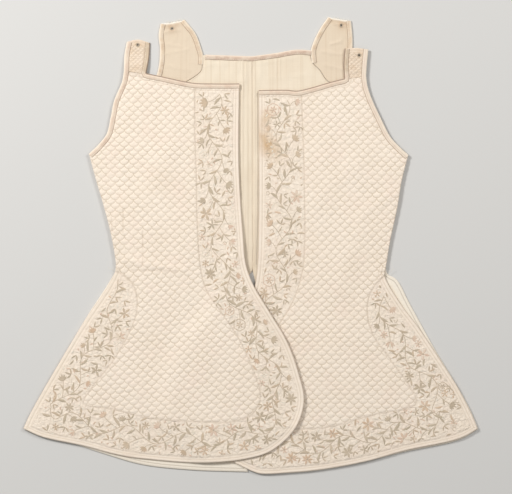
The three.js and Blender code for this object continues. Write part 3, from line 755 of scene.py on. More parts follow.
# Folds of the fronts, which both follow where one lies on the other
FRONT_FOLDS = [
    (120, -60, 150, 20, 16, 0.9),
    (90, 60, 150, 120, 14, 0.7),
    (150, 40, 190, 70, 10, 0.8),
    (-150, 60, -110, 130, 16, 0.8),
    (-170, -20, -90, -34, 5, 0.9),
    (-200, -150, -120, -230, 20, 0.9),
    (-60, -120, -20, -240, 22, 0.8),
    (120, -140, 160, -240, 22, 1.0),
    (60, -120, 80, -250, 18, 0.7),
    (230, -150, 260, -220, 12, 0.8),
    (-250, -170, -230, -230, 12, 0.7),
]


def drape(x, y):
    """How far both fronts stand off what they lie on."""
    return creases(x, y, FRONT_FOLDS) + 0.35 * (1 + waves(x, y, 70, 31)) * smooth(y, -330, -100)


def on_back(x, y):
    return WALL + GAP + 0 * x


def within(x, y, outline):
    """Whether each spot is inside a closed outline."""
    inside = np.zeros(np.shape(x), bool)
    for (ax, ay), (bx, by) in zip(outline, np.roll(outline, -1, axis=0)):
        crossing = (ay > y) != (by > y)
        inside ^= crossing & (x < ax + (bx - ax) * (y - ay) / (by - ay + 1e-12))
    return inside


def puffed(u, v):
    """Height of the padded scales, from the stitched valleys to the crowns."""
    return VALLEY + (CROWN - VALLEY) * np.sin(np.clip(from_seam(u, v) / PUFF_REACH, 0, 1) * math.pi / 2)


class Front:
    """What a quilted front's cloth, bindings, stitches and embroidery share: how high its face lies."""

    def __init__(
        self, under, opening, neckline, armhole, field_line, field_beyond, free_edge, start, lean=None, middle=0.0
    ):
        self.under_flat, self.opening, self.neckline, self.armhole = under, opening, neckline, armhole
        self.field_line, self.free_edge = smooth_line(field_line, 3.0), free_edge
        self.field = np.vstack([self.field_line, field_beyond])
        self.start, self.lean, self.middle, self.seams = start, lean, middle, []

    def under(self, x, y):
        lifted = (0.4 + 2.8 * smooth(-y, 20, 90)) * hump(distance(x, y, self.opening), 9)
        return self.under_flat(x, y) + drape(x, y) + lifted

    def border(self, x, y):
        """Height of the plain cloth between the field and the edge."""
        return self.under(x, y) + WALL + 0.12 * (1 + waves(x, y, 11, 33))

    def share(self, x, y):
        """1 in the quilted field and 0 outside it."""
        off = distance(x, y, self.field_line) * np.where(within(x, y, self.field), 1, -1)
        return smooth(off, -0.2, 1.4)

    def places(self, x, y):
        return scales(x, y, self.start, self.lean, self.middle)

    def height(self, x, y):
        by_tape = distance(x, y, self.neckline)
        share = self.share(x, y) * smooth(np.minimum(by_tape - 3, distance(x, y, self.armhole)), 6.2, 8.2)
        edge = distance(x, y, self.free_edge)
        rolled = 0.15 * np.sin(np.clip(edge / RIM, 0, 1) * math.pi) - 0.3 * hump(edge - RIM_STITCHES, GROOVE)
        rolled = rolled - 0.25 * hump(edge - RIM_LINE, GROOVE) - 0.3 * hump(by_tape - TAPE_LINE, GROOVE)
        groove = 0.35 * hump(distance(x, y, self.field_line), 0.9)
        raised = share * puffed(*self.places(x, y))
        return self.border(x, y) + raised + rolled - groove + creases(x, y, self.seams)


left_slit, left_hem, left_front_edge = map(smooth_line, (LEFT_SLIT, LEFT_HEM, LEFT_FRONT_EDGE))
left_free_edge = np.vstack([left_slit, left_hem, left_front_edge])
left_neck, left_armhole = smooth_line(LEFT_NECK), smooth_line(LEFT_ARMHOLE)
left_front = ring(left_neck, left_armhole, smooth_line(LEFT_SIDE), left_free_edge)
LEFT = Front(
    under=on_back,
    opening=left_front_edge[left_front_edge[:, 1] > -20],
    neckline=left_neck,
    armhole=left_armhole,
    field_line=LEFT_FIELD_LINE,
    field_beyond=[(68.5, 320), (280, 320), (280, -32)],
    free_edge=left_free_edge,
    start=left_front.min(axis=0) - 12,
)
# Brown stains beside the opening: place, reach and strength
LEFT_STAINS = [
    (21, 138, 13, 0.9), (24, 177, 8, 0.65), (29, 130, 9, 0.45), (17, 164, 10, 0.45), (35, 120, 12, 0.25),
    (14, 148, 7, 0.4),
]
LEFT_CORNERS = [(10.7, 209), (155, 229), (306.5, -248), (-44, -273.5)]
FRONT_GRID, FACING_GRID = (236, 352), (59, 88)


def front(name, outline, corners, side, stains, node):
    """A front's quilted face with its turned edge, and its lining underneath."""
    bm = cut_panel(edge_of(outline), corners, *FRONT_GRID, side.height, side.under, TURNED)
    piece = made_up(name, bm, QUILTED)
    x, y = spots_of(piece)
    keep_scales(piece, *side.places(x, y))
    keep(piece, "field", side.share(x, y) * smooth(distance(x, y, side.neckline), 9.4, 10.4))
    keep(piece, "rim", distance(x, y, side.free_edge))
    keep(piece, "bound", distance(x, y, side.neckline))
    joined = creases(x, y, [(*row[:4], 0.9, -1.5 * row[5]) for row in side.seams])
    marked_off = 0.85 * hump(distance(x, y, side.field_line), 0.8)
    keep(piece, "sewn", np.clip(joined + marked_off, 0, 1))
    soiled = (depth * round_falloff(x, y, spot, reach) for *spot, reach, depth in stains)
    keep(piece, "worn", sum(soiled, 0 * x))
    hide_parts(node)
    facing = moved_in(outline, UNDERSIDE_INSET, closed=True)
    bm = cut_panel(facing, corners, *FACING_GRID, side.under, side.under)
    lining = other_face(bm, name + "_lining", LINING)


front("front_left_quilted", left_front, LEFT_CORNERS, LEFT, LEFT_STAINS, "front_left")

# ---- The right front ----
# The same cloth and border as the left front, with a waist dart and a pieced side. Below the waist it laps
# over the left front, and the rows of its quilting rise towards the lap.

RIGHT_NECK = [(-142, 232), (-122, 228), (-78, 219), (-52, 218), (-15.5, 218)]
RIGHT_FRONT_EDGE = [
    (-15.5, 218), (-16.5, 129), (-15, 80), (-11, 20), (-6.5, -26), (4.3, -55), (26, -91), (49, -130), (64, -171),
    (71.8, -209),
]
RIGHT_HEM = [
    (71.8, -209), (60, -246.5), (28, -277), (-6, -288), (-68, -293.5), (-137, -289), (-177, -283.5),
    (-227, -270.5), (-282, -258.5), (-307.5, -247.5),
]
RIGHT_SLIT = [(-307.5, -247.5), (-298, -227), (-258, -157), (-222, -98), (-193, -55), (-183.5, -36)]
RIGHT_ARMHOLE = [
    (-218.5, 123), (-206, 135), (-194, 150.5), (-188.7, 172.5), (-184, 195), (-173.3, 221), (-170.6, 236),
]
RIGHT_FIELD_LINE = [
    (-75.5, 211.5), (-75.5, 160), (-73.5, 88), (-73, 48), (-67.5, -33), (-60, -60), (-40, -90), (-18.6, -121.6),
    (-0.5, -159), (13, -205), (2, -227), (-21, -237), (-68.6, -238), (-137, -233), (-187.5, -221), (-226, -213),
    (-217, -195), (-183, -151), (-155, -93), (-156, -60), (-167, -44), (-192, -30),
]
LAP_RISE = WALL + CROWN + GAP
LAP_FOOT, LAP_HEAD = 68, 30
SINK, SINK_FROM, SINK_TO = 0.85, -25, 60
SKIRT_TILT, TILT_FROM, TILT_TO = 0.112, 40, -60


def over_lap(x, y):
    """The right front rises before the left one's edge and lies on it. Above the lap it sinks to the back."""
    past = x - np.interp(y, left_front_edge[:, 1], left_front_edge[:, 0])
    return WALL + GAP + LAP_RISE * smooth(past, -LAP_FOOT, -LAP_HEAD) * (1 - SINK * smooth(y, SINK_FROM, SINK_TO))


def skirt_lean(y):
    return SKIRT_TILT * (1 - smooth(y, TILT_TO, TILT_FROM))


round_the_lap = smooth_line([*RIGHT_FRONT_EDGE, *RIGHT_HEM[1:]])
turn = int(np.argmin(np.linalg.norm(round_the_lap - RIGHT_HEM[0], axis=1)))
right_front_edge, right_hem = round_the_lap[: turn + 1], round_the_lap[turn:]
right_slit, right_neck, right_armhole = map(smooth_line, (RIGHT_SLIT, RIGHT_NECK, RIGHT_ARMHOLE))
right_free_edge = np.vstack([right_front_edge, right_hem[1:], right_slit])
right_shoulder = [(-170.6, 236), (-142, 232)]
right_front = ring(right_neck, right_free_edge, smooth_line(RIGHT_SIDE), right_armhole, right_shoulder)
RIGHT = Front(
    under=over_lap,
    opening=np.vstack([right_front_edge, right_hem[:20]]),
    neckline=right_neck,
    armhole=right_armhole,
    field_line=RIGHT_FIELD_LINE,
    field_beyond=[(-280, -30), (-280, 320), (-70, 320)],
    free_edge=right_free_edge,
    start=right_front.min(axis=0) - 12,
    lean=skirt_lean,
    middle=(right_front[:, 0].min() + right_front[:, 0].max()) / 2,
)
# Its waist seam, the two legs of its dart and the rounded piece beside them
RIGHT.seams = [
    (-166, -33, -99, -34.5, 0.8, -0.35),
    (-146, 20, -146, -4, 0.8, -0.35),
    (-146, -14, -146, -27, 0.8, -0.35),
    (-172.5, 49, -172.5, 18, 0.8, -0.35),
    (-188, 38, -187, 20, 0.8, -0.3),
    (-187, 20, -180, 14.5, 0.8, -0.3),
    (-180, 14.5, -174, 19, 0.8, -0.3),
    (-168, 234, -143, 231, 0.8, -0.6),
    (-168, 230, -143, 227, 0.7, -0.4),
]
RIGHT_CORNERS = [(-170.6, 236), (-15.5, 218), (60, -246.5), (-307.5, -247.5)]
front("front_right_quilted", right_front, RIGHT_CORNERS, RIGHT, [], "front_right")

# ---- The front shoulder straps ----
# Narrow straps that carry the fronts' quilting on over the shoulder, with one eyelet each. The right one
# comes down to the table past the back's edge, the left one lies on the edge of the left back strap.

RIGHT_STRAP_TIP = [(-166.7, 275.5), (-152.3, 278.4), (-137, 274)]
RIGHT_STRAP_INNER = [(-137, 274), (-138, 255), (-142, 232)]
RIGHT_STRAP_OUTER = [(-170.6, 236), (-170, 258), (-166.7, 275.5)]
RIGHT_EYELET = (-152.8, 271.0)
LEFT_STRAP_TIP = [(127.5, 266), (143, 267), (158, 265)]
LEFT_STRAP_OUTER = [(158, 265), (156, 245), (155, 229)]
LEFT_STRAP_INNER = [(127, 224.8), (126, 245), (127.5, 266)]
LEFT_EYELET = (146.3, 257)
FRONT_STRAP_GRID = (36, 50)
RIGHT_SHOULDER, STRAP_DOWN = 236, 264


def to_table(x, y):
    """Underside of the right strap, which sinks from the front to the table."""
    return RIGHT.under(x, y) * (1 - smooth(y, RIGHT_SHOULDER, STRAP_DOWN)) + 0.05


def front_strap(name, tip, down, up, corners, under, side, eyelet, node):
    """A strap from its tip down one side, over the seam and up the other side."""
    outline = ring(smooth_line(tip), down, up)
    outline[outline[:, 1] < 238] -= (0, 0.9)

    def places(x, y):
        """The straps' scales are half as wide as the fronts'."""
        return [2 * place for place in side.places(x, y)]

    def height(x, y):
        inside = smooth(distance(x, y, np.vstack([outline, outline[:1]])), 6.2, 7.5)
        raised = inside * puffed(*places(x, y))
        return under(x, y) + WALL + raised * (1 - 0.8 * round_falloff(x, y, eyelet, 4.5))

    bm = cut_panel(edge_of(outline), corners, *FRONT_STRAP_GRID, height, under, TURNED)
    pierce(bm, eyelet, WALL)
    piece = made_up(name, bm, QUILTED)
    x, y = spots_of(piece)
    raw = distance(x, y, smooth_line(tip))
    keep_scales(piece, *places(x, y))
    keep(piece, "field", smooth(raw, 5, 7) * 0.9)
    keep(piece, "rim", raw + 1.5)
    # Soil on the strap, and painted dark on the eyelet's wall and rim
    keep(piece, "worn", 0.38 + 0.15 * round_falloff(x, y, eyelet, 6) + 0.5 * round_falloff(x, y, eyelet, 2.8))
    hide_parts(node)
    bm = cut_panel(moved_in(outline, UNDERSIDE_INSET, closed=True), corners, *FRONT_STRAP_GRID, under, under)
    lining = other_face(bm, name + "_lining", LINING, eyelet)


right_strap_inner, right_strap_outer = smooth_line(RIGHT_STRAP_INNER), smooth_line(RIGHT_STRAP_OUTER)
left_strap_inner, left_strap_outer = smooth_line(LEFT_STRAP_INNER), smooth_line(LEFT_STRAP_OUTER)
front_strap(
    "strap_front_right_quilted", RIGHT_STRAP_TIP, right_strap_inner, right_strap_outer,
    [(-166.7, 275.5), (-137, 274), (-142, 232), (-170.6, 236)], to_table, RIGHT, RIGHT_EYELET, "strap_front_right",
)
front_strap(
    "strap_front_left_quilted", LEFT_STRAP_TIP, left_strap_outer, left_strap_inner,
    [(127.5, 266), (158, 265), (155, 229), (127, 224.8)], LEFT.under, LEFT, LEFT_EYELET, "strap_front_left",
)

# ---- The bindings of the fronts ----
# The same faded tape along each neckline and armhole, running on up both sides of the front straps. The two
# neck tapes are worn through to dark on the fold.


def right_edge_under(x, y):
    return np.where(y > RIGHT_SHOULDER, to_table(x, y), RIGHT.under(x, y))


right_neck_edge = np.vstack([right_strap_inner[:-1], right_neck])
right_armhole_edge = np.vstack([right_armhole[:-1], right_strap_outer])
left_neck_edge = np.vstack([left_neck[:-1], left_strap_inner])
left_armhole_edge = np.vstack([left_strap_outer[:-1], left_armhole])
bound("binding_neck_right", right_neck_edge, right_edge_under, NECK_TAPE, "neck_tape_right")
bound("binding_armhole_right", right_armhole_edge, right_edge_under, PINK_TAPE, "armhole_tape_right")
bound("binding_neck_left", left_neck_edge, LEFT.under, NECK_TAPE, "neck_tape_left")
bound("binding_armhole_left", left_armhole_edge, LEFT.under, FADED_TAPE, "armhole_tape_left")

# ---- Edge stitching ----
# Small running stitches in linen thread hold the rolled rim of each front, all the way round its free edges,
# and mark off its quilted field.


def repeated(name, spots, faces, finish):
    """Copies of one small shape as a single piece: spots holds each copy's points in millimetres."""
    number, points = spots.shape[:2]
    corners = (faces[None] + points * np.arange(number)[:, None, None]).ravel()
    mesh = bpy.data.meshes.new(name)
    mesh.vertices.add(number * points)
    mesh.vertices.foreach_set("co", (spots * MM).astype(np.float32).ravel())
    mesh.loops.add(len(corners))
    mesh.loops.foreach_set("vertex_index", corners.astype(np.int32))
    mesh.polygons.add(number * len(faces))
    mesh.polygons.foreach_set("loop_start", np.arange(0, len(corners), faces.shape[1], dtype=np.int32))
    mesh.update(calc_edges=True)
    return finished(name, mesh, finish)


def shape_of(bm):
    """A template's points and faces as arrays."""
    bm.verts.index_update()
    points = np.array([vert.co for vert in bm.verts])
    faces = np.array([[vert.index for vert in face.verts] for face in bm.faces])
    bm.free()
    return points, faces


def linen_thread(name, colour):
    finish = Finish(name)
    finish.colour = finish.blend(finish.noise(0.4), colour, tuple(0.82 * c for c in colour))
    return finish.cloth(finish.noise(6.0) * 0.05, roughness=0.7)


THREAD = linen_thread("stitching_thread", (0.78, 0.68, 0.53))
STITCH_PITCH, STITCH_LENGTH, STITCH_WIDTH, STITCH_HEIGHT = 2.7, 1.9, 0.5, 0.7
stitch = bmesh.new()
bmesh.ops.create_icosphere(stitch, subdivisions=1, radius=0.5)
STITCH_POINTS, STITCH_FACES = shape_of(stitch)


def running_stitch(name, lines, height):
    lines = [spaced(line, STITCH_PITCH) for line in lines]
    rows = np.vstack([np.column_stack([line, ahead_on(line)]) for line in lines])
    along, across = STITCH_POINTS[None, :, 0] * STITCH_LENGTH, STITCH_POINTS[None, :, 1] * STITCH_WIDTH
    x = rows[:, 0:1] + rows[:, 2:3] * along - rows[:, 3:4] * across
    y = rows[:, 1:2] + rows[:, 3:4] * along + rows[:, 2:3] * across
    z = height(rows[:, 0], rows[:, 1])[:, None] + STITCH_POINTS[None, :, 2] * STITCH_HEIGHT
    repeated(name, np.stack([x, y, z], -1), STITCH_FACES, THREAD)


def rim_lines(*edges):
    return [moved_in(spaced(edge, 4.0), RIM_STITCHES) for edge in edges]


right_rim, left_rim = rim_lines(round_the_lap, right_slit), rim_lines(left_slit, left_hem, left_front_edge)
running_stitch("rim_stitching_right", [*right_rim, RIGHT.field_line], RIGHT.height)
running_stitch("rim_stitching_left", [*left_rim, LEFT.field_line], LEFT.height)

# ---- Eyelets ----
# One small round eyelet near the top of each strap, for the ribbon that ties the straps together. Each is
# pierced and worked over with close buttonhole stitches.


def heading(way):
    return math.atan2(way[1], way[0])


def worked_eyelet(centre, low):
    """A ring of raised stitches round an eyelet, whose outer edge sinks into the cloth."""
    bm = bmesh.new()
    section = bmesh.ops.create_circle(bm, segments=8, radius=0.55)["verts"]
    bmesh.ops.rotate(bm, verts=section, cent=(0, 0, 0), matrix=Matrix.Rotation(math.pi / 2, 3, "X"))
    bmesh.ops.scale(bm, verts=section, vec=(1.5, 1, 1))
    bmesh.ops.translate(bm, verts=section, vec=(EYELET_RADIUS + 0.45, 0, 0))
    round_it = {"cent": (0, 0, 0), "axis": (0, 0, 1), "angle": 2 * math.pi, "steps": 80, "use_merge": True}
    bmesh.ops.spin(bm, geom=bm.verts[:] + bm.edges[:], **round_it)
    for vert in bm.verts:
        vert.co.z *= 0.75 + 0.35 * math.cos(BUTTONHOLE_STITCHES * heading(vert.co))
    bmesh.ops.recalc_face_normals(bm, faces=bm.faces)
    bmesh.ops.scale(bm, verts=bm.verts, vec=(MM, MM, MM))
    bmesh.ops.translate(bm, verts=bm.verts, vec=(centre[0] * MM, centre[1] * MM, low * MM))
    return bm


BUTTONHOLE_STITCHES = 20
BUTTONHOLE_SILK = linen_thread("buttonhole_silk", (0.5, 0.41, 0.3))
eyelets = {
    "eyelet_back_right": (RIGHT_BACK_EYELET, WALL),
    "eyelet_back_left": (LEFT_BACK_EYELET, WALL),
    "eyelet_front_right": (RIGHT_EYELET, float(to_table(*map(np.array, RIGHT_EYELET))) + WALL),
    "eyelet_front_left": (LEFT_EYELET, float(LEFT.under(*map(np.array, LEFT_EYELET))) + WALL),
}
for name, (centre, low) in eyelets.items():
    made_up(name, worked_eyelet(centre, low + 0.1), BUTTONHOLE_SILK)

# ---- The silk embroidery ----
# A meandering vine in silk, faded to tan and grey-green, worked in stem and satin stitch down the opening,
# along the hem and up the slit of each front. Its leaves and pointed flowers fill the whole border.


def embroidery_silk(name):
    """Satin stitch: fine slanting threads, in the faded shades of the motifs."""
    finish = Finish(name)
    along, across = finish.seat()
    stops = [
        (0.0, (0.44, 0.35, 0.23)), (0.2, (0.46, 0.36, 0.245)), (0.4, (0.52, 0.385, 0.25)),
        (0.6, (0.63, 0.42, 0.26)), (0.8, (0.71, 0.48, 0.36)), (0.9, (0.84, 0.76, 0.62)), (1.0, (0.86, 0.79, 0.68)),
    ]
    shade = finish.node("ShaderNodeValToRGB", {"stops": stops}, {"Fac": finish.reading("shade")})
    threads = (along + across * 0.8).sine(0.55)
    faded = finish.clipped(finish.noise(0.09, 3.0), 0.35, 0.75) * 0.4 + 0.08
    finish.colour = finish.blend(faded, shade, (0.76, 0.62, 0.46))
    # Painted sheen: each satin thread is lighter along its crest
    finish.tint(finish.clipped(threads, -1.0, 1.0) * 0.25, (0.8, 0.7, 0.56))
    return finish.cloth(threads * 0.06, roughness=0.55, sheen=0.35)


SILK = embroidery_silk("embroidery_silk")
STROKE_STEPS, STROKE_SIDES = 8, 3
stroke = bmesh.new()
bmesh.ops.create_grid(stroke, x_segments=STROKE_STEPS, y_segments=STROKE_SIDES, size=0.5)
STROKE_SPOTS, STROKE_FACES = shape_of(stroke)
STROKE_AT = np.rint((STROKE_SPOTS[:, 0] + 0.5) * STROKE_STEPS).astype(int)
STROKE_ACROSS = STROKE_SPOTS[:, 1] * 2
LENS = np.sin(np.linspace(0.06, math.pi - 0.04, STROKE_STEPS + 1)) ** 0.8
VINE_PITCH, VINE_SWING, RIM_CLEAR = 78.0, 0.44, 2.2
SPRIG_SPACE, FLECK_SPACE = 4.2, 1.7
# What fills the space that is left, as rising shares: the rest are single leaves
SPRIGS, TENDRILS, STARS = 0.64, 0.74, 0.86
# Flowers at the vine's crests and crossings: steps on, share of the half width, steps to the root, size
AT_CREST = ((0, -0.44, -20, 9.0), (12, 0.72, 2, 6.2))
AT_CROSSING = ((17, -0.66, -3, 7.6), (-15, 0.7, -1, 6.0))


def towards(angle):
    return np.array([math.cos(angle), math.sin(angle)])


class Needle:
    """Gathers the strokes of one front's embroidery and then works them on its cloth."""

    def __init__(self, seed):
        self.chance = np.random.default_rng(seed)
        self.strokes, self.taken = [], []

    def stroke(self, path, half, shade, dome):
        self.strokes.append((path, half, shade, dome))

    def stem(self, line, width, shade):
        """A stem as a run of strokes."""
        count = max(1, round(np.linalg.norm(np.diff(line, axis=0), axis=1).sum() / 12))
        line = spaced(line, count=count * STROKE_STEPS)
        for k in range(count):
            part = line[k * STROKE_STEPS : (k + 1) * STROKE_STEPS + 1]
            self.stroke(part, np.full(STROKE_STEPS + 1, width / 2), shade, 0.3)

    def petal(self, start, turn, length, width, shade, bend=0.0, blunt=1.0):
        """A leaf or petal that grows from start in the direction turn, in radians."""
        t = np.linspace(0, 1, STROKE_STEPS + 1)
        ahead = towards(turn)
        aside = np.array([-ahead[1], ahead[0]])
        path = start + np.outer(t * length, ahead) + np.outer(bend * length * t * (1 - t), aside)
        path = path + np.outer(bend * length * 0.35 * t**2, aside)
        self.stroke(path, width / 2 * LENS**blunt, shade, 0.42)

    def free(self, spot, reach):
        if not self.taken:
            return True
        taken = np.array(self.taken)
        return bool(np.all(np.hypot(taken[:, 0] - spot[0], taken[:, 1] - spot[1]) > taken[:, 2] + reach))

    def take(self, spot, reach):
        self.taken.append((spot[0], spot[1], reach))

    def star(self, centre, size, turn):
        """An open flower of pointed petals round a knot."""
        number = int(self.chance.integers(5, 8))
        shade = self.chance.choice([0.2, 0.45, 0.62, 0.8], p=[0.3, 0.25, 0.25, 0.2])
        for k in range(number):
            angle = turn + 2 * math.pi * k / number + self.chance.normal(0, 0.08)
            length = size * self.chance.uniform(0.85, 1.1)
            self.petal(centre + towards(angle), angle, length, size * 0.42, shade, self.chance.normal(0, 0.15))
        self.petal(centre - (1.1, 0), 0.0, 2.2, 2.4, 0.3, 0.0, 0.6)

    def bell(self, centre, size, turn):
        """A flower seen from the side: a fan of petals over two sepals."""
        shade = self.chance.choice([0.2, 0.45, 0.65, 0.8])
        for spread in (-0.75, -0.38, 0.0, 0.38, 0.75):
            self.petal(centre, turn + spread, size * (1.2 - 0.25 * abs(spread)), size * 0.36, shade, spread * 0.4)
        for side in (-1, 1):
            self.petal(centre, turn + side * 1.5, size * 0.6, size * 0.25, 0.1, -side * 0.8)

    def open_ring(self, centre, size, turn):
        """A round flower outlined in stem stitch, with small petals inside."""
        shade = self.chance.choice([0.4, 0.7, 0.95])
        around = np.linspace(0, 2 * math.pi, 40) + turn
        scallop = size * (0.92 + 0.12 * np.abs(np.sin(around * 3)))
        loop = centre + np.column_stack([scallop * np.cos(around), scallop * np.sin(around)])
        self.stem(loop, 0.9, shade)
        for k in range(6):
            angle = turn + 2 * math.pi * k / 6
            self.petal(centre + 0.8 * towards(angle), angle, size * 0.55, size * 0.22, shade)

    def curl(self, start, turn, size, way):
        """A tendril that winds up into a spiral."""
        t = np.linspace(0, 1, 30)
        angle = turn + way * (0.3 + 4.6 * t)
        radius = size * (1 - 0.75 * t)
        spots = np.column_stack([radius * np.cos(angle), radius * np.sin(angle)])
        self.stem(start + spots - spots[0], 0.8, 0.35)

    def work(self, name, height, silk, outline=None):
        """Lays the strokes on the cloth, each a little proud of its height. None reaches the outline's rim."""
        paths = np.array([stroke[0] for stroke in self.strokes])
        if outline is not None:
            x, y = paths[..., 0].ravel(), paths[..., 1].ravel()
            to_edge = distance(x, y, np.vstack([outline, outline[:1]]))
            clear = within(x, y, outline) & (to_edge > RIM + RIM_CLEAR)
            stays = clear.reshape(paths.shape[:2]).all(axis=1)
            self.strokes = [stroke for stroke, kept in zip(self.strokes, stays) if kept]
            paths = paths[stays]
        halves, shades, domes = (np.array([stroke[k] for stroke in self.strokes]) for k in (1, 2, 3))
        ahead = np.gradient(paths, axis=1)
        ahead = ahead / np.maximum(np.linalg.norm(ahead, axis=2), 1e-9)[..., None]
        aside = np.stack([-ahead[..., 1], ahead[..., 0]], -1)
        spots = paths[:, STROKE_AT] + aside[:, STROKE_AT] * (halves[:, STROKE_AT] * STROKE_ACROSS)[..., None]
        proud = domes[:, None] * (1 - 0.8 * STROKE_ACROSS[None] ** 2)
        z = height(spots[..., 0].ravel(), spots[..., 1].ravel()).reshape(proud.shape) + proud
        piece = repeated(name, np.concatenate([spots, z[..., None]], -1), STROKE_FACES, silk)
        reach = np.cumsum(np.linalg.norm(np.diff(paths, axis=1), axis=2), axis=1)
        reach = np.pad(reach, ((0, 0), (1, 0)))
        keep_scales(piece, reach[:, STROKE_AT].ravel(), (halves[:, STROKE_AT] * STROKE_ACROSS).ravel())
        chance = np.random.default_rng(5)
        shades = np.clip(shades + chance.normal(0, 0.05, len(shades)), 0, 1)
        keep(piece, "shade", np.repeat(shades, len(STROKE_AT)))


def flowering_vine(needle, edge, field_line):
    """Works one border between the rim and the field, from one end of the edge to the other."""
    chance = needle.chance

    # The border's middle line with its half width, and the vine that winds about it
    outer = moved_in(spaced(edge, 3.0), RIM + 1.0)
    inner = field_line[np.argmin(((outer[:, None] - field_line[None]) ** 2).sum(-1), axis=1)]
    line = np.column_stack([(outer + inner) / 2, np.linalg.norm(outer - inner, axis=1) / 2])
    soft = np.hanning(17) / np.hanning(17).sum()
    padded = np.pad(line, ((8, 8), (0, 0)), mode="edge")
    line = spaced(np.column_stack([np.convolve(padded[:, k], soft, "valid") for k in range(3)]), 1.0)
    middle, half = line[:, :2], np.minimum(line[:, 2], 34)
    long = len(middle) - 1
    ahead = ahead_on(middle)
    aside = np.column_stack([-ahead[:, 1], ahead[:, 0]])
    turns = round(long / VINE_PITCH)
    phase = np.linspace(0.4, turns * 2 * math.pi - 0.4, long + 1)
    vine = middle + aside * (VINE_SWING * np.maximum(half - 4, 1) * np.sin(phase))[:, None]
    needle.stem(vine[4:-4], 0.85, 0.35)
    for spot in vine[::3]:
        needle.take(spot, 0.8)

    def room(spot, margin):
        near = int(np.argmin(((middle - spot) ** 2).sum(1)))
        to_rim = math.sqrt(((edge - spot) ** 2).sum(1).min()) - RIM - RIM_CLEAR
        return min(half[near] - np.linalg.norm(middle[near] - spot), to_rim) - margin

    def leaf(root, turn, length):
        """A crescent leaf, if there is room for it."""
        way = towards(turn)
        tip, body = root + length * way, root + 0.62 * length * way
        if length < 3 or room(tip, 0.5) < 0 or not needle.free(body, 1.3) or not needle.free(tip, 0.7):
            return
        bend = chance.choice([-1, 1]) * chance.uniform(0.25, 0.75)
        needle.petal(root, turn, length, length * 0.25 * chance.uniform(0.85, 1.2), chance.uniform(0, 0.4), bend)
        needle.take(body, 1.9)
        needle.take(tip, 0.7)

    def branch(root, target, lean):
        """A curved side stem with a leaf or two along it."""
        elbow = (root + target) / 2 + lean
        t = np.linspace(0, 1, 24)[:, None]
        curve = (1 - t) ** 2 * root + 2 * t * (1 - t) * elbow + t**2 * target
        needle.stem(curve, 0.8, 0.25)
        for spot in curve[4::4]:
            needle.take(spot, 0.5)
        for k in (9, 14, 18):
            turn = heading(curve[k + 1] - curve[k - 1])
            for side in chance.permutation([-1, 1])[: int(chance.integers(1, 3))]:
                leaf(curve[k], turn + side * chance.uniform(0.6, 1.0), chance.uniform(7.5, 10.5))
        return elbow

    # Flowers on side stems, kept where there is room
    flowers = []
    for k in range(10, long - 10):
        before, here, after = (math.sin(phase[at]) for at in (k - 1, k, k + 1))
        crest, crossing = abs(before) < abs(here) >= abs(after), here * after < 0
        for found, way, kinds in ((crest, here, AT_CREST), (crossing, after, AT_CROSSING)):
            side = math.copysign(1, way)
            for on, share, back, size in kinds if found else ():
                flowers.append((k + on, side * share * (half[k] - 4), k + back, size))
    planned = []
    for at, offset, root, size in flowers:
        at, root = min(max(at, 6), long - 6), min(max(root, 4), long - 4)
        size = min(size, 0.36 * half[at]) * chance.uniform(0.88, 1.12)
        centre = middle[at] + aside[at] * offset + chance.normal(0, 1.2, 2)
        if size >= 2.6 and needle.free(centre, size * 0.75) and room(centre, size * 0.7) > 0:
            needle.take(centre, size * 0.95)
            planned.append((vine[root], centre, size, ahead[at] * math.copysign(4, at - root)))
    for root, centre, size, lean in planned:
        elbow = branch(root, centre, lean)
        if size > 4.5:
            kind = chance.choice(["star", "bell", "open_ring"], p=[0.3, 0.55, 0.15])
        else:
            kind = chance.choice(["star", "bell"])
        getattr(needle, kind)(centre, size, heading(centre - elbow))

    # Leaves on alternate sides of the vine
    turns = np.unwrap(np.arctan2(np.gradient(vine[:, 1]), np.gradient(vine[:, 0])))
    for k in range(8, long - 6, 7):
        side = -1 if (k // 7) % 2 else 1
        turn = turns[k] + side * chance.uniform(0.5, 1.1)
        leaf(vine[k], turn, min(13.5, 0.62 * half[k]) * chance.uniform(0.8, 1.1))

    # Sprigs, tendrils and small flowers in what is left
    for _ in range(long * 5):
        k = int(chance.integers(3, long - 3))
        spot = middle[k] + aside[k] * chance.uniform(-1, 1) * max(0, half[k] - 3.5)
        if not needle.free(spot, SPRIG_SPACE):
            continue
        taken = np.array(needle.taken)
        gap = (taken[:, :2] - spot)[int(np.argmin(((taken[:, :2] - spot) ** 2).sum(1)))]
        away = heading(-gap) + chance.normal(0, 0.4)
        root = spot - SPRIG_SPACE * towards(away)
        kind = chance.random()
        if kind < SPRIGS:
            for spread in (-0.9, 0.0, 0.9)[: int(chance.integers(2, 4))]:
                length = chance.uniform(6.5, 8.8)
                needle.petal(root, away + spread, length, length * 0.27, chance.uniform(0, 0.5), spread * 0.5)
        elif kind < TENDRILS:
            needle.curl(root, away, 3.4, chance.choice([-1, 1]))
        elif kind < STARS:
            needle.star(spot, 4.4, away)
        else:
            needle.petal(root, away, 10.0, 2.6, chance.uniform(0.1, 0.7), chance.normal(0, 0.5))
        needle.take(spot, 3.9)

    # Flecks between them
    for _ in range(2 * long):
        k = int(chance.integers(4, long - 4))
        spot = middle[k] + aside[k] * chance.uniform(-1, 1) * max(0, half[k] - 2.5)
        if needle.free(spot, FLECK_SPACE):
            turn, length = chance.uniform(0, 6.3), chance.uniform(3.0, 6.0)
            shade = chance.choice([0.95, 0.75, 0.4], p=[0.7, 0.2, 0.1])
            needle.petal(spot - towards(turn) * length / 2, turn, length, 1.8, shade, chance.normal(0, 0.6))
            needle.take(spot, 2.3)


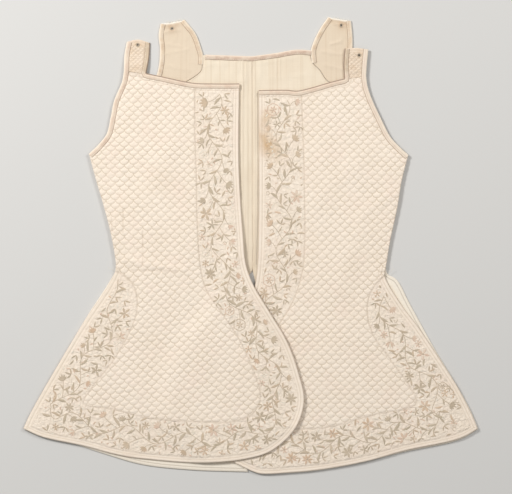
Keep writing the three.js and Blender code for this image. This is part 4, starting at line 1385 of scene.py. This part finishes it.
right_needle, left_needle = Needle(17), Needle(23)
flowering_vine(right_needle, right_free_edge[3:-3], RIGHT.field_line)
right_needle.work("embroidery_right", RIGHT.border, SILK, right_front)
flowering_vine(left_needle, left_free_edge[3:-3], LEFT.field_line)
left_needle.work("embroidery_left", LEFT.border, SILK, left_front)

# ---- Frayed strap tops ----
# The raw tops of the back straps, where threads of the two linens have worked loose and lie out over the
# edge in all directions.


def frayed(needle, tip, count):
    tip = spaced(smooth_line(tip), 0.6)[4:-4]
    for _ in range(count):
        start = tip[int(needle.chance.integers(0, len(tip)))] - (0, 1.5)
        turn = needle.chance.normal(math.pi / 2, 0.7)
        length = needle.chance.uniform(2.0, 4.4)
        t = np.linspace(0, 1, STROKE_STEPS + 1)
        curl = needle.chance.normal(0, 0.9)
        path = start + length * np.column_stack([t * math.cos(turn) - curl * 0.35 * t**2, t * math.sin(turn)])
        needle.stroke(path, np.linspace(0.22, 0.1, STROKE_STEPS + 1), 0.5, 0.2)


def on_straps(x, y):
    return WALL - 0.3 + 0 * x


loose = Needle(31)
frayed(loose, RIGHT_BACK_STRAP_TIP, 60)
frayed(loose, LEFT_BACK_STRAP_TIP, 30)
loose.work("frayed_threads", on_straps, linen_thread("loose_threads", (0.86, 0.79, 0.68)))

# ---- Table, light and camera ----
# A plain pale table under the garment, a soft lamp beyond its upper left and a weaker one beyond its upper
# right, and a camera looking straight down.

top = bmesh.new()
bmesh.ops.create_grid(top, x_segments=1, y_segments=1, size=4)
mesh = bpy.data.meshes.new("table")
top.to_mesh(mesh)
top.free()
table = bpy.data.objects.new("table", mesh)
table.location.z = -0.1 * MM
bpy.context.scene.collection.objects.link(table)
paint = Finish("table_paint")
coat = paint.node("ShaderNodeBsdfPrincipled", {}, {"Base Color": (0.62, 0.61, 0.59, 1), "Roughness": 0.9})
paint.node("ShaderNodeOutputMaterial", {}, {"Surface": coat})
mesh.materials.append(paint.material)


def lamp(name, place, aim, power, size):
    light = bpy.data.lights.new(name, "AREA")
    light.energy, light.size = power, size
    shade = bpy.data.objects.new(name, light)
    shade.location = place
    shade.rotation_euler = (Vector(aim) - Vector(place)).to_track_quat("-Z", "Y").to_euler()
    bpy.context.scene.collection.objects.link(shade)


lamp("key", (-1.5, 1.15, 1.75), (0, 0.05, 0), 46, 0.5)
lamp("second", (1.4, 1.1, 1.85), (0, 0.05, 0), 20, 0.6)
sky = bpy.data.worlds.new("studio")
sky.use_nodes = True
sky.node_tree.nodes["Background"].inputs["Color"].default_value = (1, 0.99, 0.97, 1)
sky.node_tree.nodes["Background"].inputs["Strength"].default_value = 0.4
bpy.context.scene.world = sky
bpy.context.scene.view_settings.view_transform = "Standard"

eye = bpy.data.cameras.new("camera")
eye.lens, eye.clip_end = 208, 30
camera = bpy.data.objects.new("camera", eye)
camera.location = (0.007, -0.002, 4.0)
bpy.context.scene.collection.objects.link(camera)
bpy.context.scene.camera = camera
